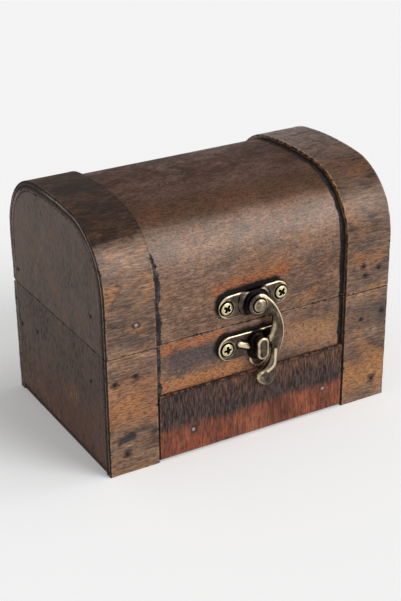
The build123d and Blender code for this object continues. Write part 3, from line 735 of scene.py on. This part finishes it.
stride = endPanels.stride
arch = lidPath(endPanels.inset, stride)[:, :2]
arch = [arch[0]] + [row for row in arch[1:-1] if row[1] > arch[0][1] + endPanels.footGap] + [arch[-1]]
arch = spaced([arch[-1], arch[0]], stride)[1:] + arch
out, foot = chest.liningOut, chest.liningFoot
square = spaced([(-out, foot), (out, foot), (out, rim), (-out, rim), (-out, foot)], stride)
for side, sideName in ((-1, "left"), (1, "right")):
    addEnd(sideName + "LidEnd", side, arch[::-1], "lid", "lid_" + sideName + "_end")
    addEnd(sideName + "BaseEnd", side, square, "base", "base_" + sideName + "_end")
print("ends made")


# Cast pieces: a closed mesh where a field of distances crosses zero.
# The field works in mm, on x, the distance out of the chest's middle, and z.
def castMesh(low, high, cell, field):
    axes = [np.arange(a - 2 * cell, b + 3 * cell, cell) for a, b in zip(low, high)]
    x, out, z = axes[0][:, None, None], axes[1][None, :, None], axes[2][None, None, :]
    value = np.broadcast_to(field(x, out, z), [len(axis) for axis in axes])
    inside = value < 0
    shape = [len(axis) - 1 for axis in axes]
    total, hits = np.zeros(shape + [3]), np.zeros(shape)
    for axis in range(3):
        for first, second in ((0, 0), (0, 1), (1, 0), (1, 1)):
            start = [first, second]
            start.insert(axis, 0)
            end = [1 if i == axis else part for i, part in enumerate(start)]
            a, b = (value[tuple(slice(i, i + length) for i, length in zip(corner, shape))]
                    for corner in (start, end))
            crossing = (a < 0) != (b < 0)
            share = np.where(crossing, a / np.where(crossing, a - b, 1), 0)
            for part in range(3):
                total[..., part] += np.where(crossing, share if part == axis else start[part], 0)
            hits += crossing
    active = hits > 0
    index = np.full(shape, -1)
    index[active] = np.arange(active.sum())
    points = np.argwhere(active) + total[active] / hits[active][:, None]
    points = points * cell + np.array([axis[0] for axis in axes])
    faces = []
    for axis in range(3):
        one, two = np.eye(3, dtype=int)[(axis + 1) % 3], np.eye(3, dtype=int)[(axis + 2) % 3]
        places = np.argwhere(inside != np.roll(inside, -1, axis))
        quad = np.stack([index[tuple((places - shift).T)] for shift in (one + two, two, 0 * one, one)], 1)
        flip = inside[tuple(places.T)]
        quad[flip] = quad[flip][:, ::-1]
        faces.append(quad)
    points[:, 1] *= -1
    return points, np.concatenate(faces)


# How often and how much cast pieces are evened out, and how wear is read from how they bend
casting = Look(rounds=4, share=0.5, spread=6, gain=6)


def castForm(low, high, cell, field, rounds, share):   # an evened out mesh, and its wear
    points, faces = castMesh(low, high, cell, field)
    pairs = np.concatenate([faces[:, [i, (i + 1) % 4]] for i in range(4)])
    number = np.bincount(pairs.ravel(), minlength=len(points))[:, None]

    def mean(values):
        total = np.zeros_like(values)
        np.add.at(total, pairs[:, 0], values[pairs[:, 1]])
        np.add.at(total, pairs[:, 1], values[pairs[:, 0]])
        return total / number

    for turn in range(rounds):
        points = points + share * (mean(points) - points)
    normal = np.cross(points[faces[:, 2]] - points[faces[:, 0]], points[faces[:, 3]] - points[faces[:, 1]])
    gathered = np.zeros_like(points)
    for i in range(4):
        np.add.at(gathered, faces[:, i], normal)
    gathered /= np.maximum(np.linalg.norm(gathered, axis=1), 1e-12)[:, None]
    bend = np.sum((points - mean(points)) * gathered, 1)[:, None]
    for turn in range(casting.spread):
        bend = 0.5 * bend + 0.5 * mean(bend)
    faces = faces.tolist()
    wear = bend[:, 0] / cell * casting.gain * np.sign(volume(points, faces))
    return points, turnedOut(points, faces), wear


def addCast(name, low, high, cell, field, grime, *job):
    points, faces, wear = castForm(low, high, cell, field, casting.rounds, casting.share)
    wear = wear - grime(points[:, 0], -points[:, 1], points[:, 2])
    finishPiece(name, points, faces, {"wear": wear}, antiqueBrass, sharp.cast, *job, "antique_brass")


def slotDistance(u, v, length, height):   # distance to a bar with round ends
    reach = (length - height) / 2
    return np.hypot(np.maximum(np.abs(u) - reach, 0), v) - height / 2


def blended(first, second, width):   # the union of two forms, with a fillet between them
    share = np.clip(0.5 + 0.5 * (second - first) / width, 0, 1)
    return second * (1 - share) + first * share - width * share * (1 - share)


def slab(flat, out, back, front, rounding, backRounding=0.2):   # an outline with depth and soft edges
    edge = np.where(out > (back + front) / 2, rounding, backRounding)
    side, deep = flat + edge, np.maximum(back - out, out - front) + edge
    return np.minimum(np.maximum(side, deep), 0) + np.hypot(np.maximum(side, 0), np.maximum(deep, 0)) - edge


def step(value, low, high):
    share = np.clip((value - low) / (high - low), 0, 1)
    return share * share * (3 - 2 * share)


def turned(x, z, centre, degrees):
    angle = math.radians(degrees)
    dx, dz = x - centre[0], z - centre[1]
    return dx * math.cos(angle) + dz * math.sin(angle), dz * math.cos(angle) - dx * math.sin(angle)


# How far a plate falls at its rim and under its screws, and from where to where it falls
plateEdge = Look(rim=0.12, rimFall=(-1.6, -0.2), seat=0.35, seatFall=(3.05, 2.6), rounding=0.5)


def plateFront(front, flat, u, v, screws):
    front = front - plateEdge.rim * step(flat, *plateEdge.rimFall)
    for side in (-1, 1):
        front = front - plateEdge.seat * step(np.hypot(u - side * screws, v), *plateEdge.seatFall)
    return front


upper = Look(
    centre=(0, 54.8), lift=0.5, tilt=3.0, length=29.2, height=9.2, back=38.35, front=39.55, boss=5.4,
    bossSlope=1.5, bossRise=1.3, screws=11.5)


def upperPlateField(x, out, z):
    u, v = turned(x, z, upper.centre, upper.tilt)
    v = v - upper.lift
    flat = slotDistance(u, v, upper.length, upper.height)
    raised = step(np.hypot(u, v), upper.boss + upper.bossSlope, upper.boss)
    front = plateFront(upper.front + upper.bossRise * raised, flat, u, v, upper.screws)
    return slab(flat, out, upper.back, front, plateEdge.rounding)


lower = Look(
    centre=(-1.1, 38.2), length=27.4, height=9.8, back=38.4, front=39.6, screws=10.2, lobe=(2.2, 32.2),
    lobeRadius=3.9, lobeFillet=1.5, rib=(-4.4, 38.6), ribLength=6.2, ribWidth=2.6, ribRise=1.3, ribSunk=0.3,
    ribRounding=1.2, ribFillet=0.5, ribTilt=-24)


def lowerPlateField(x, out, z):
    u, v = x - lower.centre[0], z - lower.centre[1]
    flat = slotDistance(u, v, lower.length, lower.height)
    lobe = np.hypot(x - lower.lobe[0], z - lower.lobe[1]) - lower.lobeRadius
    front = plateFront(lower.front, flat, u, v, lower.screws)
    form = slab(blended(flat, lobe, lower.lobeFillet), out, lower.back, front, plateEdge.rounding)
    u, v = turned(x, z, lower.rib, lower.ribTilt)
    rib = slotDistance(u, v, lower.ribLength, lower.ribWidth)
    bar = slab(rib, out, lower.back + lower.ribSunk, lower.front + lower.ribRise, lower.ribRounding)
    return blended(form, bar, lower.ribFillet)


post = Look(
    centre=(1.1, 37.5), neck=(7.6, 3.6), head=(8.7, 4.7), collar=(9.6, 6.0), back=38.9, collarFront=40.15,
    neckFront=44.0, headBack=43.5, front=44.6, neckRounding=0.3, headRounding=0.55, collarRounding=0.4,
    dish=0.22, dishFall=(-0.7, -1.3), headFillet=0.7, collarFillet=1.1)


def postField(x, out, z):
    u, v = z - post.centre[1], x - post.centre[0]
    neck = slab(slotDistance(u, v, *post.neck), out, post.back, post.neckFront, post.neckRounding)
    head = slotDistance(u, v, *post.head)
    front = post.front - post.dish * step(head, *post.dishFall)
    head = slab(head, out, post.headBack, front, post.headRounding)
    collar = slotDistance(u, v, *post.collar)
    collar = slab(collar, out, post.back, post.collarFront, post.collarRounding)
    return blended(blended(neck, head, post.headFillet), collar, post.collarFillet)


hook = Look(
    pivot=(0, 54.8), back=41.5, front=43.55, ring=4.4, ringFillet=0.6, rounding=0.75, backRounding=0.35,
    recess=0.75, recessFall=(3.15, 2.65), crown=0.6, crownWidth=2.6, tip=0.55, tipRise=(-22, -30),
    outer=[(1.0, 3.9), (2.6, 3.15), (4.4, 1.9), (6.2, 0.0), (8.0, -2.5), (9.5, -5.5), (10.5, -8.4),
        (11.0, -11.2), (11.1, -13.9), (10.8, -16.5), (10.1, -18.9), (9.1, -21.3), (8.4, -23.0), (7.9, -25.1),
        (7.3, -27.8), (6.7, -30.6), (6.1, -32.2), (4.9, -33.1), (3.1, -33.3), (1.3, -32.6), (-0.2, -31.2),
        (-1.0, -29.5)],
    inner=[(-1.0, -29.5), (-0.6, -28.2), (0.6, -27.2), (2.2, -26.6), (3.7, -25.5), (5.0, -23.8), (5.8, -21.4),
        (5.9, -19.3), (5.3, -17.2), (4.2, -15.6), (4.4, -14.2), (5.3, -12.6), (5.9, -10.6), (6.2, -8.4),
        (5.9, -6.3), (4.8, -5.0), (3.2, -4.4), (1.5, -3.6)],
    ridge=[(7.0, -19.5), (7.0, -21.5), (6.9, -23.5), (6.6, -25.3), (5.4, -26.4), (3.6, -27.4)])


def throughPoints(rows, parts):   # a smooth line through some points
    rows = np.asarray(rows, float)
    padded = np.vstack([2 * rows[0] - rows[1], rows, 2 * rows[-1] - rows[-2]])
    line = []
    for a, b, c, d in zip(padded, padded[1:], padded[2:], padded[3:]):
        for t in np.arange(parts) / parts:
            line.append(0.5 * (2 * b + (c - a) * t + (2 * a - 5 * b + 4 * c - d) * t ** 2
                               + (3 * b - a - 3 * c + d) * t ** 3))
    return np.array(line + [rows[-1]])


def outlineDistance(x, z, line):   # signed distance to a closed outline
    near = np.full(np.broadcast(x, z).shape, 1e9)
    inside = np.zeros(near.shape, bool)
    for (ax, az), (bx, bz) in zip(line, np.roll(line, -1, 0)):
        dx, dz = bx - ax, bz - az
        share = np.clip(((x - ax) * dx + (z - az) * dz) / max(dx * dx + dz * dz, 1e-12), 0, 1)
        near = np.minimum(near, np.hypot(x - ax - share * dx, z - az - share * dz))
        if dz:
            inside ^= ((az > z) != (bz > z)) & (x < ax + (z - az) * dx / dz)
    return np.where(inside, -near, near)


def hookField(x, out, z):
    line = np.vstack([throughPoints(hook.outer, 4)[:-1], throughPoints(hook.inner, 4)])
    px, pz = x - hook.pivot[0], z - hook.pivot[1]
    radius = np.hypot(px, pz)
    flat = blended(outlineDistance(px, pz, line), radius - hook.ring, hook.ringFillet)
    crown = hook.crown * (1 - (1 - np.clip(-flat / hook.crownWidth, 0, 1)) ** 2)
    front = hook.front - hook.crown + crown + hook.tip * step(pz, *hook.tipRise)
    front = front - hook.recess * step(radius, *hook.recessFall)
    return slab(flat, out, hook.back, front, hook.rounding, hook.backRounding)


rivet = Look(centre=(0, 54.8), radius=2.5, back=42.4, front=44.6, drop=0.75, rounding=0.35)


def rivetField(x, out, z):
    radius = np.hypot(x - rivet.centre[0], z - rivet.centre[1])
    front = rivet.front - rivet.drop * (radius / rivet.radius) ** 2
    return slab(radius - rivet.radius, out, rivet.back, front, rivet.rounding)


def nearLine(x, z, rows, parts=4):
    line = throughPoints(rows, parts)
    return np.min(np.hypot(x[:, None] - line[None, :, 0], z[:, None] - line[None, :, 1]), axis=1)


# Grime and painted light on the cast pieces: above zero it is tarnish, with painted shade round the hook's
# eye, on its tab and round the post's foot, and below zero the hand has rubbed it bright, with a painted
# highlight along the tab's ridge

def hookGrimeShadeAndHighlight(x, out, z):   # tarnish and painted shade round the foot of the eye, edges that the hand rubs, a painted highlight along the tab's ridge, and painted shade on the tab
    px, pz = x - hook.pivot[0], z - hook.pivot[1]
    radius = np.hypot(px, pz)
    # round the foot of the eye: tarnish and painted shade on its side
    dark = 1.2 * step(radius, 6.5, 4.9) * step(out, 43.0, 42.5)
    dark = dark + 0.12 * step(radius, 4.9, 4.2) * step(radius, 2.6, 3.1)
    outer = step(nearLine(px, pz, hook.outer), 1.1, 0.5) * step(pz, -24, -16)
    inner = step(nearLine(px, pz, hook.inner), 2.2, 0.8)
    middle = step(pz, -6, -10) * step(pz, -17, -13)
    calm = inner * step(pz, -22, -18) * step(radius, 4.6, 5.6) * (1 - middle)
    # the tab's ridge: rubbed bright, and a painted highlight
    ridge = step(nearLine(px, pz, hook.ridge, 3), 0.8, 0.0)
    # the tab's middle: painted shade, lighter at its lower left
    tabShade = 0.14 * step(np.hypot((px - 3.8) / 1.6, (pz + 29.8) / 2.1), 1.4, 0.2)
    tabShade = tabShade - 0.05 * step(px, 3, 1) * step(pz, -28, -30)
    return dark - 0.7 * outer + 0.1 * calm - 0.08 * inner * middle - 0.42 * ridge + tabShade


def screwGrime(x, z, name):   # a dark ring round each screw
    away = np.min([np.hypot(x - middle[0], z - middle[2]) for middle, facing in fastenerPlaces(name)], axis=0)
    return 0.5 * step(away, 3.2, 2.75)


def plateGrimeAndShade(x, out, z):   # tarnish and painted shade under the hook's eye
    radius = np.hypot(x - upper.centre[0], z - upper.centre[1])
    return 0.6 * step(radius, 6.2, 5.0) + screwGrime(x, z, "latch_plate_screws")


def catchGrimeAndShade(x, out, z):   # tarnish and painted shadow round the foot of the post, and a rubbed rib
    u, v = z - post.centre[1], x - post.centre[0]
    # round the foot of the post: tarnish, and the painted shadow of the post and hook
    dark = 0.8 * step(slotDistance(u, v, *post.collar), 1.6, 0.2) * step(out, 41.2, 40.7)
    return dark - 0.5 * step(out, 40.3, 40.8) * (x < -2) + screwGrime(x, z, "catch_plate_screws")


def rivetGrime(x, out, z):
    return -0.05 * step(out, 43.7, 44.5)


addCast("latchPlate", (-14.8, 38.3, 49.8), (14.8, 41, 60.8), 0.15, upperPlateField, plateGrimeAndShade, "lid",
        "latch_plate")
addCast("catchPlate", (-15, 38.3, 28), (12.8, 41.2, 43.3), 0.15, lowerPlateField, catchGrimeAndShade, "base",
        "catch_plate")
addCast("catchPost", (-2.1, 38.8, 32.5), (4.3, 44.8, 42.5), 0.13, postField, catchGrimeAndShade, "base", "catch_post")
addCast("swingHook", (-4.6, 41.4, 21), (11.4, 44.6, 59.4), 0.15, hookField, hookGrimeShadeAndHighlight, "latch_hook",
        "latch_hook")
addCast("pivotRivet", (-2.6, 42.3, 52.2), (2.6, 44.8, 57.4), 0.12, rivetField, rivetGrime, "lid",
        "latch_pivot")
print("latch made")


# Geometry Nodes set one fastener on each place

def fastenerTree(shape, material, lean, turn, seed):
    tree = bpy.data.node_groups.new("fasteners", "GeometryNodeTree")
    for way in ("INPUT", "OUTPUT"):
        tree.interface.new_socket("Geometry", in_out=way, socket_type="NodeSocketGeometry")
    places = tree.nodes.new("NodeGroupInput").outputs["Geometry"]
    head = fromNode(tree, "GeometryNodeObjectInfo", "Geometry", {"Object": shape})
    facing = fromNode(tree, "GeometryNodeInputNamedAttribute", "Attribute", {"Name": "facing"},
                      data_type="FLOAT_VECTOR")
    stand = fromNode(tree, "FunctionNodeAlignRotationToVector", "Rotation", {"Vector": facing}, axis="Z")
    limits = {"Min": (-lean, -lean, -turn), "Max": (lean, lean, turn), "Seed": seed}
    chance = fromNode(tree, "FunctionNodeRandomValue", "Value", limits, data_type="FLOAT_VECTOR")
    slant = fromNode(tree, "FunctionNodeEulerToRotation", "Rotation", {"Euler": chance})
    stand = fromNode(tree, "FunctionNodeRotateRotation", "Rotation", {"Rotation": stand, "Rotate By": slant},
                     rotation_space="LOCAL")
    heads = fromNode(tree, "GeometryNodeInstanceOnPoints", "Instances",
                     {"Points": places, "Instance": head, "Rotation": stand})
    real = fromNode(tree, "GeometryNodeRealizeInstances", "Geometry", {"Geometry": heads})
    finish = fromNode(tree, "GeometryNodeSetMaterial", "Geometry", {"Geometry": real, "Material": material})
    addNode(tree, "NodeGroupOutput", {"Geometry": finish})
    return tree


def setFasteners(name, shape, places, shades, settings, material, *job):
    mesh = newMesh(name + "Places", [middle for middle, facing in places], [], {"shade": shades})
    directions = mesh.attributes.new("facing", "FLOAT_VECTOR", "POINT")
    directions.data.foreach_set("vector", np.array([facing for middle, facing in places], np.float32).ravel())
    holder = addObject(name + "Places", mesh)
    holder.modifiers.new("fasteners", "NODES").node_group = fastenerTree(shape, material, **settings)
    graph = bpy.context.evaluated_depsgraph_get()
    made = bpy.data.meshes.new_from_object(holder.evaluated_get(graph), depsgraph=graph)
    bpy.data.objects.remove(holder)
    made.name = name
    if not made.materials:
        made.materials.append(material)
    addPiece(name, made, sharp.fastener, *job)


# The profile goes from the middle of the head to its rim, in radii and mm
tackShape = Look(
    radius=0.72, height=0.25, sides=14, depth=1.0, shank=0.4, sunk=0.07, tip=0.01, dents=0.05, bumps=0.02,
    profile=((0.35, 0.0), (0.7, -0.02), (0.92, -0.07), (1.0, -0.15), (0.98, -0.25)))


def tackObject(look):   # a small hammered head, its top at z = 0
    random = np.random.RandomState(4)
    rows = [(radius * look.radius, level) for radius, level in look.profile]
    rows += [(look.shank, -look.height), (look.shank, -look.depth)]
    points, sides, faces = [(0, 0, look.tip)], look.sides, []
    for radius, level in rows:
        for i in range(sides):
            angle = 2 * math.pi * i / sides
            dented = radius * (1 + random.uniform(-look.dents, look.dents))
            points.append((dented * math.cos(angle), dented * math.sin(angle),
                           min(0, level + random.uniform(-look.bumps, look.bumps))))
    points.append((0, 0, -look.depth))
    points = [(x, y, z - look.sunk) for x, y, z in points]
    last = len(points) - 1
    for i in range(sides):
        j = (i + 1) % sides
        faces.append([0, 1 + i, 1 + j])
        for start in range(1, last - sides, sides):
            faces.append([start + i, start + sides + i, start + sides + j, start + j])
        faces.append([last - sides + i, last, last - sides + j])
    return addObject("tackShape", newMesh("tackShape", points, turnedOut(points, faces), {}))


screwShapes = Look(
    latch=Look(radius=2.5, dome=0.6, cross=(3.4, 1.15), deep=0.95, depth=1.0),
    hinge=Look(radius=1.7, dome=0.5, cross=(2.4, 0.6), deep=0.6, depth=0.8))
screwForm = Look(rounding=0.22, taper=0.15, widen=0.12, cell=0.11, rounds=2, share=0.4)


def screwObject(name, look):   # a domed head with a cross recess, its highest point at z = 0
    size, reach, back = look.radius, look.radius + 0.1, -look.dome - look.depth
    length, width = look.cross

    def field(x, out, z):
        radius = np.hypot(x, z)
        head = slab(radius - size, out, back, -look.dome * (radius / size) ** 2, screwForm.rounding)
        arms = np.minimum(slotDistance(x, z, length, width), slotDistance(z, x, length, width))
        taper = arms - screwForm.taper * (out + look.deep) + screwForm.widen
        return np.maximum(head, -np.maximum(taper, -look.deep - out))

    points, faces, wear = castForm((-reach, back, -reach), (reach, 0.1, reach), screwForm.cell, field,
                                   screwForm.rounds, screwForm.share)
    radius = np.hypot(points[:, 0], points[:, 2])
    sunk = points[:, 1] - look.dome * (radius / size) ** 2
    wear = wear - 1.5 * step(sunk, 0.2, 0.4) * (radius < 0.75 * size)
    wear = wear - 1.2 * step(radius, size - 0.3, size - 0.05)
    points = np.column_stack([points[:, 0], points[:, 2], -points[:, 1]])
    return addObject(name, newMesh(name, points, faces, {"wear": wear}))


tack = tackObject(tackShape)
tackNames = ("baseStrapTacks", "skirtTacks", "baseEndTacks", "lidStrapTacks", "lidEndTacks")
silverTacks = [(-48.7, 57), (-43.1, 8.5), (-25.5, 9.7), (31, 10.3)]   # bright ones on the front, x and z
tackShades = Look(bright=0.9, dark=0.25, near=6)
for name, replaced in zip(tackNames, tackNodes):
    places, shades = fastenerPlaces(replaced), []
    for middle, facing in places:
        near = min(math.hypot(middle[0] - x, middle[2] - z) for x, z in silverTacks)
        shades.append(tackShades.bright if near < tackShades.near and facing[1] < 0 else tackShades.dark)
    setFasteners(name, tack, places, shades, dict(lean=0.08, turn=3.1, seed=7), tackSteel,
                 "lid" if name.startswith("lid") else "base", replaced, "tack_steel")
bpy.data.objects.remove(tack)
for kind, jobs in (("latch", (("latchScrews", "lid", "latch_plate_screws", 5),
                              ("catchScrews", "base", "catch_plate_screws", 8))),
                   ("hinge", (("hingeBaseScrews", "base", "hinge_base_screws", 3),
                              ("hingeLidScrews", "lid", "hinge_lid_screws", 4)))):
    screw = screwObject(kind + "ScrewShape", screwShapes[kind])
    for name, body, replaced, seed in jobs:
        places = fastenerPlaces(replaced)
        setFasteners(name, screw, places, [0.5] * len(places), dict(lean=0.02, turn=0.7, seed=seed),
                     screwBrass, body, replaced, "bright_brass")
    bpy.data.objects.remove(screw)
print("fasteners made")


# The rest of the CAD keeps its shape and gets its finish
dressed = ((washerBlack, ("latch_washer",)),
           (innerWood, ("base_bottom", "lid_front_rail", "lid_back_rail")),
           (hingeBrass, ("left_hinge_base_leaf", "right_hinge_base_leaf", "left_hinge_lid_leaf",
                         "right_hinge_lid_leaf", "left_hinge_pin", "right_hinge_pin")))
for material, names in dressed:
    for name in names:
        nodes[name].data.materials.clear()
        nodes[name].data.materials.append(material)
print("frame dressed")


# Floor, light and camera

floorLook = Look(size=6.0, shade=0.83, seen=1.02, glow=0.885, glowShare=0.2)


def pictureRays(tree):   # 1 where the camera, metal or glass sees the surface
    path = tree.nodes.new("ShaderNodeLightPath").outputs
    camera, glossy, through = (Value(tree, path[name])
                               for name in ("Is Camera Ray", "Is Glossy Ray", "Is Transmission Ray"))
    return maths("MAXIMUM", maths("MAXIMUM", camera, glossy), through)


def addFloor(look):
    half = look.size / 2
    mesh = bpy.data.meshes.new("floor")
    corners = [(-half, -half, 0), (half, -half, 0), (half, half, 0), (-half, half, 0)]
    mesh.from_pydata(corners, [], [(0, 1, 2, 3)])
    material, tree, surface = startMaterial("floorPaper")
    seen = pictureRays(tree)
    colour = mixed(seen, (look.shade,) * 3 + (1.0,), (look.seen,) * 3 + (1.0,))
    paper = fromNode(tree, "ShaderNodeBsdfDiffuse", "BSDF", {"Color": colour})
    glow = fromNode(tree, "ShaderNodeEmission", "Emission", {"Strength": look.glow})
    both = {"Fac": seen * look.glowShare, 1: paper, 2: glow}   # lightens the shadow that the picture shows
    feed(tree, surface, fromNode(tree, "ShaderNodeMixShader", "Shader", both))
    mesh.materials.append(material)
    addObject("floor", mesh)


addFloor(floorLook)

lights = Look(
    key=Look(strength=1.9, side=33, height=30, width=37),
    top=Look(strength=0.5, side=60, height=62, width=30),
    side=Look(strength=0.6, side=88, height=14, width=32))


def towards(look):   # a direction from the chest, by degrees round from its front and up
    side, height = math.radians(look.side), math.radians(look.height)
    return Vector((math.sin(side) * math.cos(height), -math.cos(side) * math.cos(height), math.sin(height)))


for name, look in lights.items():
    lamp = bpy.data.lights.new(name, "SUN")
    lamp.energy = look.strength
    lamp.angle = math.radians(look.width)
    addObject(name, lamp).rotation_euler = towards(look).to_track_quat("Z", "Y").to_euler()

studio = Look(light=0.4, seen=0.885)   # light on the chest, and the backdrop that the picture shows


def addWorld(look):
    world = bpy.data.worlds.new("studio")
    world.use_nodes = True
    tree = world.node_tree
    background = tree.nodes["Background"].inputs
    background["Color"].default_value = (1, 1, 1, 1)
    feed(tree, background["Strength"], pictureRays(tree) * (look.seen - look.light) + look.light)
    bpy.context.scene.world = world


addWorld(studio)

view = Look(
    lens=80.75, side=-29.91, height=25.60, roll=-0.56, distance=521.04, target=(0.48, 0, 38.88))


def addCamera(look):
    side, roll = math.radians(look.side), math.radians(look.roll)
    back = towards(look)
    right = Vector((math.cos(side), math.sin(side), 0))
    up = back.cross(right)
    data = bpy.data.cameras.new("camera")
    data.lens = look.lens
    data.clip_start = 0.01
    camera = addObject("camera", data)
    matrix = camera.matrix_world.copy()
    for column, axis in enumerate((right * math.cos(roll) + up * math.sin(roll),
                                   up * math.cos(roll) - right * math.sin(roll), back,
                                   (Vector(look.target) + back * look.distance) * mm)):
        for row in range(3):
            matrix[row][column] = axis[row]
    camera.matrix_world = matrix
    bpy.context.scene.camera = camera


addCamera(view)
bpy.context.scene.view_settings.view_transform = "Standard"
print("stage made")
